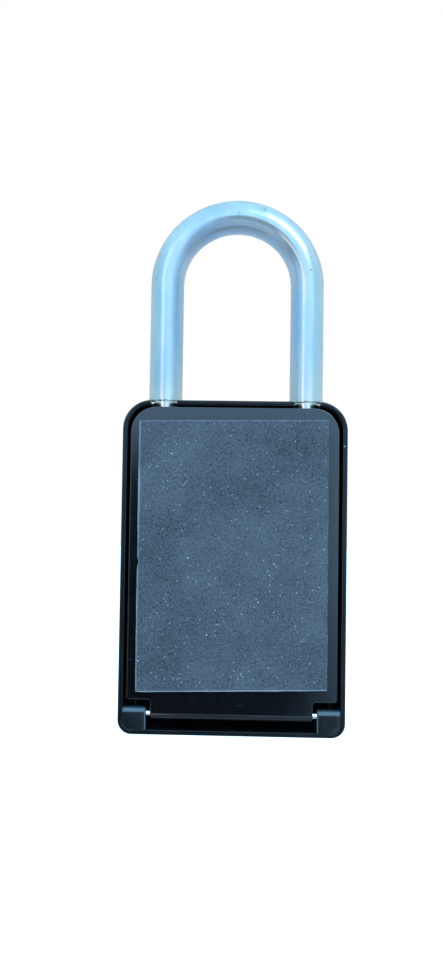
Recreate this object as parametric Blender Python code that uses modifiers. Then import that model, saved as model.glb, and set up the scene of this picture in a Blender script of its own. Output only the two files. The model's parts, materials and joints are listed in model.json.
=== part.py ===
"""Portable key lock box: a key tray that hangs on a removable steel shackle, closed by a hinged
front cover that carries a four-dial combination lock.  Metres, +Z up, the dials face -Y and the
foam pad faces +Y.  The origin is under the middle of the box."""

import math

import bmesh
import bpy
from mathutils import Matrix, Vector

# ---------------------------------------------------------------- driving dimensions (metres)

# fits
touch_gap = 0.0003          # between pieces that rest on each other
running_gap = 0.0003        # round a shaft or in a guide
pin_gap = 0.00015           # round the hinge pin
overlap = 0.0008            # how far joined shapes reach into each other

# the box
body_width = 0.0812
body_height = 0.1200
cover_setback = 0.0035      # shutter face to cover face
lock_to_legs = 0.0009       # inner cover to the shackle's legs

# foam pad on the back
foam_thickness = 0.0018
foam_corner = 0.0012
foam_corners = (            # (x, z), cut and stuck on a little out of square
    (-0.0340, 0.0170),
    (0.0343, 0.0153),
    (0.0346, 0.1124),
    (-0.0337, 0.1133),
)

# front cover
cover_wall = 0.0018
cover_face = 0.0025         # thickness of the front wall
cover_top_radius = 0.0105
cover_foot_radius = 0.0050
cover_edge_radius = 0.0030  # round the front edge
rim_setback = 0.0002        # rim edge in front of the back panel

# back case
panel_thickness = 0.0020
panel_side_gap = 0.0012     # panel to rim, at the sides
panel_top_gap = 0.0007      # panel to rim, at the top
panel_top_radius = 0.0090
panel_small_radius = 0.0010
notch_top = 0.0125          # underside of the panel beside the hinge tongue
tray_wall = 0.0020
tray_inset = 0.0006         # tray side inside the panel edge
tray_step = 0.0004          # tray floor above the panel's lower edge
tray_front = -0.0120        # open edge of the tray
tray_top_radius = 0.0080
swing_gap = 0.0007          # tray to the cover rim as the cover swings

# hinge
hinge_height = 0.0074
barrel_radius = 0.0023
barrel_skin = 0.0001        # barrel inside the panel face
tongue_half_width = 0.0290
knuckle_gap = 0.0015        # tongue to knuckle
knuckle_rise = 0.0021       # knuckle top above the pin
knuckle_edge = 0.0013
pin_radius = 0.00125
pin_end_inset = 0.0005
blind_wall = 0.0024         # left between the pin bore and the outside
door_opening = 110          # degrees

# shackle
leg_spacing = 0.0520
bar_radius = 0.0044
sleeve_radius = 0.0062
sleeve_gap = 0.00025
loop_top = 0.1960
leg_bottom = 0.0955
leg_back_gap = 0.0030       # leg to the inside of the panel
groove_depth = 0.0012
notch_side_gap = 0.0005     # leg to the notch in the cover's top

# shackle catch
catch_level = 0.1020
catch_thickness = 0.0020
catch_travel = 0.0030
catch_bite = 0.0009         # how far the catch enters the grooves
catch_bridge = 0.0022       # strip behind the legs
boss_radius = 0.0024
boss_spacing = 0.0240
retainer_thickness = 0.0016
tab_width = 0.0090
tab_drop = 0.0090
bush_flange_radius = 0.0070
bush_radius = 0.0059
bush_flange = 0.0010

# dials
dial_count = 4
dial_radius = 0.0094
dial_width = 0.0072
dial_pitch = 0.0096
dial_level = 0.0760
dial_stand_out = 0.0013     # dials in front of the cover face
dial_bore = 0.0039
dial_flute = 0.0005
hub_radius = 0.0035
shaft_radius = 0.0020
cam_radius = 0.0052
cam_thickness = 0.0013
fence_bite = 0.0010         # how far the fence overlaps a turned cam
fence_height = 0.0022
fence_gap = 0.00035

# latch
latch_thickness = 0.0015
latch_half_width = 0.0190
bolt_half_width = 0.0080
bolt_bite = 0.0031          # bolt behind the strike lip when locked
stem_half_width = 0.0026
stem_height = 0.0040
stem_above_dials = 0.0068
knob_half_width = 0.0080
knob_height = 0.0140
knob_thickness = 0.0015

# carrier, inner cover and reset lever
carrier_wall = 0.0020
inner_cover_thickness = 0.0015
inner_cover_half_width = 0.0330
inner_cover_low = 0.0520
inner_cover_high = 0.1032
post_radius = 0.0026
post_spacing = 0.0600
post_levels = (0.0580, 0.0920)
reset_x = -0.0120
reset_level = 0.0660
reset_length = 0.0120

# weather shutter
shutter_half_width = 0.0250
shutter_skin = 0.0015
shutter_low = 0.0580
shutter_high = 0.0870
shutter_travel = 0.0240
flange_width = 0.0020
flange_thickness = 0.0011
rail_wall = 0.0020
rail_lip = 0.0012

# screws: head radius, head height, shank radius
case_screw = (0.0019, 0.0012, 0.0010)
cover_screw = (0.0022, 0.0012, 0.0012)
small_screw = (0.0016, 0.0010, 0.0008)

# strike
strike_thickness = 0.0015
strike_drop = 0.0050        # how far its lip hangs down
strike_screw_x = 0.0060
strike_screw_back = 0.0046  # screws behind the lip

# hook for keys
hook_level = 0.0840
hook_reach = 0.0050
hook_bend = 0.0020
hook_radius = 0.0009

# ---------------------------------------------------------------- places that follow from them

body_depth = (
    cover_setback - dial_stand_out + 2 * dial_radius + latch_thickness + inner_cover_thickness
    + 4 * running_gap + lock_to_legs + 2 * bar_radius + leg_back_gap + panel_thickness
    + touch_gap + foam_thickness
)
back_y = body_depth / 2
front_y = -body_depth / 2
panel_y = back_y - foam_thickness - touch_gap
panel_inside = panel_y - panel_thickness
rim_y = panel_y - rim_setback
panel_half = body_width / 2 - cover_wall - panel_side_gap
panel_top = body_height - cover_wall - panel_top_gap
hinge_y = panel_y - barrel_skin - barrel_radius
tray_half = panel_half - tray_inset
tray_bottom = notch_top + tray_step
rim_reach = math.hypot(rim_y - hinge_y, body_height - cover_wall - hinge_height)
tray_top = hinge_height + math.sqrt(rim_reach**2 - (tray_front - hinge_y) ** 2) - swing_gap
tray_ceiling = tray_top - tray_wall
boss_bore_top = tray_ceiling - 0.0030

leg_x = leg_spacing / 2
leg_y = panel_inside - leg_back_gap - bar_radius
arch_level = loop_top - sleeve_radius - leg_x

cover_y = front_y + cover_setback
cover_inside = cover_y + cover_face
dial_y = cover_y - dial_stand_out + dial_radius
fence_reach = cam_radius - fence_bite
half_chord = math.sqrt(cam_radius**2 - fence_reach**2)
latch_travel = 2 * half_chord + fence_height + 2 * fence_gap
latch_y = dial_y + dial_radius + 2 * running_gap
inner_cover_y = latch_y + latch_thickness + 2 * running_gap

stem_level = dial_level + dial_radius + stem_above_dials
post_bore_end = inner_cover_y - 0.0100
flange_front = cover_y - touch_gap - flange_thickness
dials_half = (dial_count - 1) / 2 * dial_pitch + dial_width / 2
carrier_inner = dials_half + cam_thickness + 2 * running_gap + 0.0001
carrier_seat_y = cover_inside + 0.0033
carrier_screw_x = carrier_inner + carrier_wall + 0.0040
carrier_screw_level = dial_level - 0.0070

strike_half_width = boss_spacing / 2 - boss_radius - touch_gap
strike_lip_y = latch_y - touch_gap - strike_thickness
strike_roof = tray_ceiling - touch_gap
strike_lip_low = strike_roof - strike_drop
strike_screw_y = strike_lip_y + strike_thickness + strike_screw_back
bolt_top = strike_lip_low + bolt_bite - latch_travel


# ---------------------------------------------------------------- modelling helpers


def fresh_collection(name):
    collection = bpy.data.collections.new(name)
    bpy.context.scene.collection.children.link(collection)
    return collection


def finish(name, colour, roughness, metallic=0.0, alpha=1.0):
    """A plain Principled material."""
    material = bpy.data.materials.new(name)
    material.use_nodes = True
    shader = material.node_tree.nodes["Principled BSDF"]
    shader.inputs["Base Color"].default_value = (*colour, 1.0)
    shader.inputs["Roughness"].default_value = roughness
    shader.inputs["Metallic"].default_value = metallic
    shader.inputs["Alpha"].default_value = alpha
    return material


def place(obj, material=None):
    """Put a finished piece, or a shape that cuts or joins, in its collection."""
    if material is None:
        tools.objects.link(obj)
        obj.hide_render = True
        obj.display_type = "WIRE"
    else:
        parts.objects.link(obj)
        obj.data.materials.append(material)
    return obj


def from_bmesh(name, mesh_builder, matrix, material):
    mesh = bpy.data.meshes.new(name)
    mesh_builder.to_mesh(mesh)
    mesh_builder.free()
    obj = bpy.data.objects.new(name, mesh)
    obj.matrix_world = matrix
    return place(obj, material)


def block(name, x, y, z, material=None):
    """A box between pairs of coordinates."""
    middle = Vector([(low + high) / 2 for low, high in (x, y, z)])
    size = [high - low for low, high in (x, y, z)]
    shape = bmesh.new()
    bmesh.ops.create_cube(shape, size=1.0, matrix=Matrix.Diagonal((*size, 1.0)))
    return from_bmesh(name, shape, Matrix.Translation(middle), material)


def along(axis, middle):
    """Carry a shape's own Z to the named axis, and its origin to the middle."""
    turn = {
        "X": Matrix(((0, 0, 1), (1, 0, 0), (0, 1, 0))),
        "Y": Matrix(((1, 0, 0), (0, 0, -1), (0, 1, 0))),
        "Z": Matrix.Identity(3),
    }[axis]
    return Matrix.Translation(middle) @ turn.to_4x4()


def rod(name, axis, centre, radius, low, high, material=None, sides=24):
    """A cylinder along an axis, from low to high on it."""
    middle = Vector(centre)
    middle["XYZ".index(axis)] = (low + high) / 2
    shape = bmesh.new()
    bmesh.ops.create_cone(
        shape, cap_ends=True, segments=sides, radius1=radius, radius2=radius, depth=high - low
    )
    obj = from_bmesh(name, shape, along(axis, middle), material)
    obj.data.shade_smooth()
    obj.data.set_sharp_from_angle(angle=math.radians(40))
    return obj


def turned(name, axis, centre, profile, material=None, sides=24):
    """A closed profile of (radius, height) turned round an axis through the centre.  The points
    run down the outer side first."""
    mesh = bpy.data.meshes.new(name)
    count = len(profile)
    edges = [(i, (i + 1) % count) for i in range(count)]
    mesh.from_pydata([(radius, 0, height) for radius, height in profile], edges, [])
    obj = bpy.data.objects.new(name, mesh)
    obj.matrix_world = along(axis, Vector(centre))
    screw = obj.modifiers.new("Turn", "SCREW")
    screw.steps = sides
    screw.render_steps = sides
    screw.use_merge_vertices = True
    screw.merge_threshold = 0.00001
    return place(obj, material)


def corner_points(corners, step=15):
    """Points round an outline of (x, y, radius) corners, with each corner an arc."""
    points = []
    count = len(corners)
    for i, (x, y, radius) in enumerate(corners):
        here = Vector((x, y))
        if radius == 0:
            points.append(here)
            continue
        before = (Vector(corners[i - 1][:2]) - here).normalized()
        after = (Vector(corners[(i + 1) % count][:2]) - here).normalized()
        half_angle = before.angle(after) / 2
        bisector = (before + after).normalized()
        centre = here + bisector * radius / math.sin(half_angle)
        first = here + before * radius / math.tan(half_angle) - centre
        last = here + after * radius / math.tan(half_angle) - centre
        sweep = first.angle_signed(last)
        steps = max(2, round(abs(math.degrees(sweep)) / step))
        for k in range(steps + 1):
            turn = Matrix.Rotation(-sweep * k / steps, 2)
            points.append(centre + turn @ first)
    return points


def plate(name, axis, outline, low, high, material=None):
    """A flat outline made thick along an axis.  The outline is (x, z) for Y, (x, y) for Z and
    (y, z) for X."""
    curve = bpy.data.curves.new(name, "CURVE")
    curve.dimensions = "2D"
    curve.fill_mode = "BOTH"
    curve.extrude = (high - low) / 2
    spline = curve.splines.new("POLY")
    spline.points.add(len(outline) - 1)
    for point, (x, y) in zip(spline.points, outline):
        point.co = (x, y, 0, 1)
    spline.use_cyclic_u = True
    middle = Vector((0, 0, 0))
    middle["XYZ".index(axis)] = (low + high) / 2
    return curve_to_mesh(name, curve, along(axis, middle), material)


def tube(name, route, radius, material=None, resolution=4):
    """A round bar along a list of points."""
    curve = bpy.data.curves.new(name, "CURVE")
    curve.dimensions = "3D"
    curve.bevel_depth = radius
    curve.bevel_resolution = resolution
    curve.use_fill_caps = True
    spline = curve.splines.new("POLY")
    spline.points.add(len(route) - 1)
    for point, place_on_route in zip(spline.points, route):
        point.co = (*place_on_route, 1)
    return curve_to_mesh(name, curve, Matrix.Identity(4), material)


def curve_to_mesh(name, curve, matrix, material):
    source = bpy.data.objects.new(name + "_curve", curve)
    tools.objects.link(source)
    view = bpy.context.evaluated_depsgraph_get()
    mesh = bpy.data.meshes.new_from_object(source.evaluated_get(view))
    bpy.data.objects.remove(source)
    mesh.name = name
    shape = bmesh.new()
    shape.from_mesh(mesh)
    bmesh.ops.remove_doubles(shape, verts=shape.verts, dist=0.000001)
    bmesh.ops.dissolve_limit(
        shape, angle_limit=math.radians(0.2), verts=shape.verts, edges=shape.edges
    )
    bmesh.ops.recalc_face_normals(shape, faces=shape.faces)
    shape.to_mesh(mesh)
    shape.free()
    mesh.materials.clear()
    obj = bpy.data.objects.new(name, mesh)
    obj.matrix_world = matrix
    return place(obj, material)


def boolean(target, other, operation):
    modifier = target.modifiers.new(operation.title() + " " + other.name, "BOOLEAN")
    modifier.operation = operation
    modifier.solver = "EXACT"
    modifier.object = other
    return target


def cut(target, *others):
    for other in others:
        boolean(target, other, "DIFFERENCE")


def join(target, *others):
    for other in others:
        boolean(target, other, "UNION")


def round_edges(obj, width, segments=2, angle=40):
    bevel = obj.modifiers.new("Round", "BEVEL")
    bevel.width = width
    bevel.segments = segments
    bevel.limit_method = "ANGLE"
    bevel.angle_limit = math.radians(angle)


def round_marked_edges(obj, width, segments, wanted):
    """Round the edges whose two ends, in world space, both satisfy the test."""
    marks = obj.data.attributes.new("bevel_weight_edge", "FLOAT", "EDGE")
    places = [obj.matrix_world @ vertex.co for vertex in obj.data.vertices]
    for edge in obj.data.edges:
        marks.data[edge.index].value = float(all(wanted(places[i]) for i in edge.vertices))
    bevel = obj.modifiers.new("Round", "BEVEL")
    bevel.width = width
    bevel.segments = segments
    bevel.limit_method = "WEIGHT"


def pivot(name, position, parent=None):
    """An empty on a joint's axis."""
    empty = bpy.data.objects.new(name, None)
    empty.empty_display_size = 0.01
    tools.objects.link(empty)
    empty.matrix_world = Matrix.Translation(position)
    if parent is not None:
        hang(parent, empty)
    return empty


def hang(parent, *children):
    """Parent pieces to an empty without moving them."""
    parent_place = Matrix.Translation(parent.get("place", parent.location))
    for child in children:
        if child.type == "EMPTY":
            child["place"] = child.location[:]
        child.parent = parent
        child.matrix_parent_inverse = parent_place.inverted()


def fastener(name, axis, head_seat, sizes, length, direction, material):
    """A round-headed screw.  Its head's underside is at head_seat, and its shank runs from
    there in the direction (+1 or -1) along the axis."""
    head_radius, head_height, shank_radius = sizes
    shape = [
        (shank_radius, direction * length),
        (shank_radius, 0),
        (head_radius, 0),
        (head_radius, -direction * head_height * 0.55),
        (head_radius * 0.62, -direction * head_height),
        (0.0, -direction * head_height),
        (0.0, direction * length),
    ]
    if direction < 0:
        shape.reverse()
    return turned(name, axis, head_seat, shape, material, sides=12)


def both_sides(distance):
    """The left and right places, with their names as seen from the front."""
    return (("left", -distance), ("right", distance))


# ---------------------------------------------------------------- the pieces of the case


def make_back_case():
    """Back panel, key tray and hinge tongue, moulded as one piece."""
    outline = [
        (-panel_half, notch_top, panel_small_radius),
        (-tongue_half_width, notch_top, panel_small_radius * 0.8),
        (-tongue_half_width, hinge_height, 0),
        (tongue_half_width, hinge_height, 0),
        (tongue_half_width, notch_top, panel_small_radius * 0.8),
        (panel_half, notch_top, panel_small_radius),
        (panel_half, panel_top, panel_top_radius),
        (-panel_half, panel_top, panel_top_radius),
    ]
    case = plate("back_case", "Y", corner_points(outline), panel_inside, panel_y, black_gloss)

    def tray_outline(inset):
        half = tray_half - inset
        top_radius = max(tray_top_radius - inset, panel_small_radius)
        return corner_points(
            [
                (-half, tray_bottom + inset, panel_small_radius),
                (half, tray_bottom + inset, panel_small_radius),
                (half, tray_top - inset, top_radius),
                (-half, tray_top - inset, top_radius),
            ]
        )

    tray = plate("tray_solid", "Y", tray_outline(0), tray_front, panel_inside + overlap)
    hollow = plate("tray_hollow", "Y", tray_outline(tray_wall), tray_front - 0.01, panel_inside)
    tongue = block(
        "tongue_solid",
        (-tongue_half_width, tongue_half_width),
        (hinge_y - barrel_radius, panel_y - panel_thickness / 2),
        (hinge_height, tray_bottom + tray_wall - overlap),
    )
    barrel = rod(
        "barrel_solid", "X", (0, hinge_y, hinge_height), barrel_radius,
        -tongue_half_width, tongue_half_width,
    )
    join(case, tray)
    cut(case, hollow)
    join(case, tongue, barrel)
    for side, x in both_sides(boss_spacing / 2):
        boss = rod(
            "boss_solid_" + side, "Z", (x, leg_y, 0), boss_radius,
            catch_level, tray_ceiling + overlap,
        )
        join(case, boss)
    cut(
        case,
        rod(
            "tongue_bore", "X", (0, hinge_y, hinge_height), pin_radius + pin_gap,
            -body_width, body_width,
        ),
    )
    for side, x in both_sides(boss_spacing / 2):
        hole = rod(
            "boss_bore_" + side, "Z", (x, leg_y, 0), case_screw[2] + running_gap,
            catch_level - 0.002, boss_bore_top,
        )
        cut(case, hole)
    for side, x in both_sides(leg_x):
        socket = rod(
            "leg_hole_" + side, "Z", (x, leg_y, 0), bush_radius + touch_gap,
            tray_ceiling - 0.002, tray_top + 0.002,
        )
        cut(case, socket)
    for side, x in both_sides(strike_screw_x):
        hole = rod(
            "strike_bore_" + side, "Z", (x, strike_screw_y, 0), case_screw[2] + running_gap,
            tray_ceiling - 0.002, tray_top - 0.0005,
        )
        cut(case, hole)
    return case


def make_foam_pad():
    outline = corner_points([(x, level, foam_corner) for x, level in foam_corners], step=30)
    return plate("foam_pad", "Y", outline, panel_y + touch_gap, back_y, foam_grey)


def make_hinge_pin():
    return rod(
        "hinge_pin", "X", (0, hinge_y, hinge_height), pin_radius,
        -body_width / 2 + pin_end_inset, body_width / 2 - blind_wall - touch_gap, steel,
    )


def make_leg_bushes():
    """Flanged plastic bushes that line the two holes for the shackle's legs."""
    flange_low = tray_top + touch_gap
    inner = bar_radius + running_gap
    profile = [
        (bush_flange_radius, flange_low + bush_flange),
        (bush_flange_radius, flange_low),
        (bush_radius, flange_low),
        (bush_radius, tray_ceiling - tray_wall / 2),
        (inner, tray_ceiling - tray_wall / 2),
        (inner, flange_low + bush_flange),
    ]
    for side, x in both_sides(leg_x):
        turned("leg_bush_" + side, "Z", (x, leg_y, 0), profile, black_satin)


def make_strike():
    """Steel angle under the tray's top wall, which the latch bolt rises behind."""
    back = strike_screw_y + case_screw[0] + 0.001
    outline = [
        (strike_lip_y, strike_lip_low),
        (strike_lip_y + strike_thickness, strike_lip_low),
        (strike_lip_y + strike_thickness, strike_roof - strike_thickness),
        (back, strike_roof - strike_thickness),
        (back, strike_roof),
        (strike_lip_y, strike_roof),
    ]
    strike = plate("strike_plate", "X", outline, -strike_half_width, strike_half_width, steel)
    for side, x in both_sides(strike_screw_x):
        hole = rod(
            "strike_hole_" + side, "Z", (x, strike_screw_y, 0), case_screw[2] + running_gap,
            strike_roof - 0.003, strike_roof + 0.001,
        )
        cut(strike, hole)
        seat = strike_roof - strike_thickness - touch_gap
        fastener(
            "strike_screw_" + side, "Z", (x, strike_screw_y, seat), case_screw,
            tray_top - 0.0008 - seat, 1, steel,
        )
    return strike


def make_shackle():
    """Bent steel bar with a groove in each leg, and the clear sleeve over the part outside."""
    steps = 22
    angles = [math.pi * i / steps for i in range(steps + 1)]
    arch = [
        (leg_x * math.cos(angle), leg_y, arch_level + leg_x * math.sin(angle)) for angle in angles
    ]
    bar_route = [(leg_x, leg_y, leg_bottom), *arch, (-leg_x, leg_y, leg_bottom)]
    bar = tube("shackle_bar", bar_route, bar_radius, zinc_steel)
    for side, x in both_sides(leg_x):
        ring = turned(
            "groove_" + side, "Z", (x, leg_y, 0),
            [
                (bar_radius * 1.5, catch_level + catch_thickness + 2 * fence_gap),
                (bar_radius * 1.5, catch_level - 2 * fence_gap),
                (bar_radius - groove_depth, catch_level - 2 * fence_gap),
                (bar_radius - groove_depth, catch_level + catch_thickness + 2 * fence_gap),
            ],
        )
        cut(bar, ring)
    sleeve_end = body_height + touch_gap
    sleeve_route = [(leg_x, leg_y, sleeve_end), *arch, (-leg_x, leg_y, sleeve_end)]
    sleeve = tube("shackle_sleeve", sleeve_route, sleeve_radius, clear_sleeve)
    bore_route = [(leg_x, leg_y, sleeve_end - 0.01), *arch, (-leg_x, leg_y, sleeve_end - 0.01)]
    cut(sleeve, tube("sleeve_bore", bore_route, bar_radius + sleeve_gap))
    return bar, sleeve


def make_shackle_catch():
    """Sliding plate under the tray's top wall.  Its fingers enter the grooves in the legs."""
    front = leg_y - bar_radius
    back = panel_inside - touch_gap
    slot_back = leg_y + bar_radius + running_gap
    slot_near = bar_radius - catch_bite + catch_travel
    slot_far = bar_radius + running_gap
    left_end = -(tray_half - tray_wall - running_gap)
    right_end = tray_half - tray_wall - running_gap - catch_travel
    outline = [
        (left_end, front), (-leg_x - slot_near, front), (-leg_x - slot_near, slot_back),
        (-leg_x + slot_far, slot_back), (-leg_x + slot_far, front),
        (leg_x - slot_near, front), (leg_x - slot_near, slot_back),
        (leg_x + slot_far, slot_back), (leg_x + slot_far, front),
        (right_end, front), (right_end, back), (left_end, back),
    ]
    catch = plate(
        "shackle_catch", "Z", outline, catch_level, catch_level + catch_thickness, steel
    )
    tab = block(
        "catch_tab", (-tab_width / 2, tab_width / 2), (front + 0.0001, front + 0.0013),
        (catch_level - tab_drop, catch_level + catch_thickness / 2),
    )
    join(catch, tab)
    for side, x in both_sides(boss_spacing / 2):
        reach = boss_radius + running_gap
        slot = plate(
            "catch_slot_" + side, "Z",
            corner_points(
                [
                    (x - reach - catch_travel, leg_y - reach, reach * 0.99),
                    (x + reach, leg_y - reach, reach * 0.99),
                    (x + reach, leg_y + reach, reach * 0.99),
                    (x - reach - catch_travel, leg_y + reach, reach * 0.99),
                ]
            ),
            catch_level - 0.002, catch_level + catch_thickness + 0.002,
        )
        cut(catch, slot)
    return catch


def make_catch_retainer():
    """Plate that holds the catch up, with its two screws."""
    top = catch_level - touch_gap
    low = top - retainer_thickness
    half = boss_spacing / 2 + boss_radius + 0.001
    retainer = block(
        "catch_retainer", (-half, half),
        (leg_y - bar_radius + 0.0016 + running_gap, leg_y + bar_radius), (low, top), steel,
    )
    for side, x in both_sides(boss_spacing / 2):
        hole = rod(
            "retainer_hole_" + side, "Z", (x, leg_y, 0), case_screw[2] + running_gap,
            low - 0.001, top + 0.001,
        )
        cut(retainer, hole)
        seat = low - touch_gap
        fastener(
            "retainer_screw_" + side, "Z", (x, leg_y, seat), case_screw,
            boss_bore_top - 0.0005 - seat, 1, steel,
        )
    round_edges(retainer, 0.0003, 1)
    return retainer


def make_key_hook():
    """Wire hook on the inside of the back panel, between the legs."""
    root = panel_inside - touch_gap
    bend_y = root - hook_reach
    route = [(0, root, hook_level), (0, bend_y, hook_level)]
    for i in range(1, 7):
        turn = math.radians(15 * i)
        y = bend_y - hook_bend * math.sin(turn)
        level = hook_level + hook_bend * (1 - math.cos(turn))
        route.append((0, y, level))
    route.append((0, bend_y - hook_bend, hook_level + hook_reach))
    return tube("key_hook", route, hook_radius, steel, resolution=2)


# ---------------------------------------------------------------- the pieces of the front cover


def make_front_cover():
    """Front cover: a deep lid with posts, dial windows, shutter rails and two hinge knuckles."""
    half = body_width / 2

    def lid_outline(inset):
        return corner_points(
            [
                (-half + inset, inset, cover_foot_radius - min(inset, cover_foot_radius * 0.4)),
                (half - inset, inset, cover_foot_radius - min(inset, cover_foot_radius * 0.4)),
                (half - inset, body_height - inset, cover_top_radius - inset),
                (-half + inset, body_height - inset, cover_top_radius - inset),
            ],
            step=15,
        )

    cover = plate("front_cover", "Y", lid_outline(0), cover_y, rim_y, black_satin)
    round_marked_edges(cover, cover_edge_radius, 3, lambda p: p.y < cover_y + 0.0001)
    cut(cover, plate("cover_hollow", "Y", lid_outline(cover_wall), cover_inside, rim_y + 0.01))

    for level in post_levels:
        for side, x in both_sides(post_spacing / 2):
            post = rod(
                f"post_{side}_{level * 1000:.0f}", "Y", (x, 0, level), post_radius,
                cover_inside - overlap, inner_cover_y - touch_gap,
            )
            bore = rod(
                f"post_bore_{side}_{level * 1000:.0f}", "Y", (x, 0, level),
                cover_screw[2] + running_gap, post_bore_end, inner_cover_y + 0.002,
            )
            join(cover, post)
            cut(cover, bore)
    for side, x in both_sides(carrier_screw_x):
        boss = rod(
            "carrier_boss_" + side, "Y", (x, 0, carrier_screw_level), post_radius,
            cover_inside - overlap, carrier_seat_y - touch_gap,
        )
        bore = rod(
            "carrier_bore_" + side, "Y", (x, 0, carrier_screw_level), small_screw[2] + running_gap,
            cover_inside - 0.0008, carrier_seat_y + 0.002,
        )
        join(cover, boss)
        cut(cover, bore)

    for side, x in both_sides(1):
        inner = x * (tongue_half_width + knuckle_gap)
        outer = x * (half - cover_wall / 2)
        foot = cover_wall / 2
        knuckle = plate(
            "knuckle_" + side, "Y",
            corner_points(
                [
                    (inner, foot, 0),
                    (outer, foot, cover_foot_radius - foot),
                    (outer, hinge_height + knuckle_rise, 0),
                    (inner, hinge_height + knuckle_rise, 0),
                ]
            ),
            hinge_y - knuckle_rise, rim_y - rim_setback,
        )
        round_marked_edges(knuckle, knuckle_edge, 3, lambda p: p.z > hinge_height)
        join(cover, knuckle)
    bore = rod(
        "knuckle_bore", "X", (0, hinge_y, hinge_height), pin_radius + pin_gap,
        -body_width, half - blind_wall,
    )
    cut(cover, bore)

    rail_inner = shutter_half_width + running_gap
    rail_outer = shutter_half_width + flange_width + running_gap + rail_wall
    rail_front = flange_front - running_gap - rail_lip
    rail_low = shutter_low - shutter_travel - 0.0020
    rail_high = shutter_high + 0.0018
    for side, x in both_sides(1):
        profile = [
            (rail_outer, cover_y + overlap),
            (rail_outer, rail_front),
            (rail_inner, rail_front),
            (rail_inner, rail_front + rail_lip),
            (rail_outer - rail_wall, rail_front + rail_lip),
            (rail_outer - rail_wall, cover_y + overlap),
        ]
        rail = plate(
            "rail_" + side, "Z", [(x * across, y) for across, y in profile], rail_low, rail_high
        )
        stop = block(
            "rail_stop_" + side, tuple(sorted((x * rail_inner, x * (rail_outer - 0.0002)))),
            (rail_front + 0.0002, cover_y + overlap * 0.9),
            (shutter_high + running_gap, rail_high - 0.0002),
        )
        join(cover, rail, stop)
    sill = block(
        "rail_sill", (-rail_outer + 0.0002, rail_outer - 0.0002),
        (rail_front + 0.0003, cover_y + overlap * 0.9),
        (rail_low + 0.0002, shutter_low - shutter_travel - running_gap),
    )
    join(cover, sill)

    for i in range(dial_count):
        x = dial_centre(i)
        reach = math.sqrt(dial_radius**2 - (cover_inside - dial_y) ** 2) + 0.0008
        window = block(
            f"window_{i + 1}", (x - dial_width / 2 - running_gap, x + dial_width / 2 + running_gap),
            (cover_y - 0.01, cover_inside + 0.001), (dial_level - reach, dial_level + reach),
        )
        cut(cover, window)
    stem_slot = block(
        "stem_slot", (-stem_half_width - running_gap, stem_half_width + running_gap),
        (cover_y - 0.01, cover_inside + 0.001),
        (
            stem_level - stem_height / 2 - running_gap,
            stem_level + stem_height / 2 + latch_travel + running_gap,
        ),
    )
    cut(cover, stem_slot)
    for side, x in both_sides(leg_x):
        reach = bar_radius + notch_side_gap
        notch = plate(
            "leg_notch_" + side, "Z",
            corner_points(
                [
                    (x - reach, leg_y - reach, reach * 0.99),
                    (x + reach, leg_y - reach, reach * 0.99),
                    (x + reach, rim_y + 0.01, 0),
                    (x - reach, rim_y + 0.01, 0),
                ]
            ),
            body_height - cover_wall - 0.003, body_height + 0.003,
        )
        cut(cover, notch)
    return cover


def make_dial(i):
    """Number wheel with ten flutes, and the steel cam whose hub it turns on."""
    x = dial_centre(i)
    points = []
    around = 60
    for k in range(around):
        turn = 2 * math.pi * k / around
        radius = dial_radius - dial_flute * max(0.0, math.cos(10 * turn)) ** 4
        points.append((dial_y + radius * math.cos(turn), dial_level + radius * math.sin(turn)))
    dial = plate(
        f"dial_{i + 1}", "X", points, x - dial_width / 2, x + dial_width / 2, dial_black
    )
    centre = (0, dial_y, dial_level)
    cut(dial, rod(f"dial_bore_{i + 1}", "X", centre, dial_bore, x - 0.01, x + 0.01))

    disc_low = x + dial_width / 2 + running_gap
    cam = rod(
        f"cam_{i + 1}", "X", centre, cam_radius, disc_low, disc_low + cam_thickness, brass
    )
    hub = rod(
        f"cam_hub_{i + 1}", "X", centre, hub_radius, x - dial_width / 2 + 0.0002,
        disc_low + cam_thickness / 2,
    )
    join(cam, hub)
    shaft_hole = rod(
        f"cam_bore_{i + 1}", "X", centre, shaft_radius + running_gap, x - 0.02, x + 0.02
    )
    flat_y = dial_y + fence_reach - running_gap
    flat = block(
        f"cam_flat_{i + 1}", (disc_low - 0.001, disc_low + 0.01),
        (flat_y, flat_y + 0.01), (dial_level - 0.01, dial_level + 0.01),
    )
    cut(cam, shaft_hole, flat)
    return dial, cam


def make_dial_shaft():
    end = carrier_inner + carrier_wall + 0.0010
    return rod("dial_shaft", "X", (0, dial_y, dial_level), shaft_radius, -end, end, steel)


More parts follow.
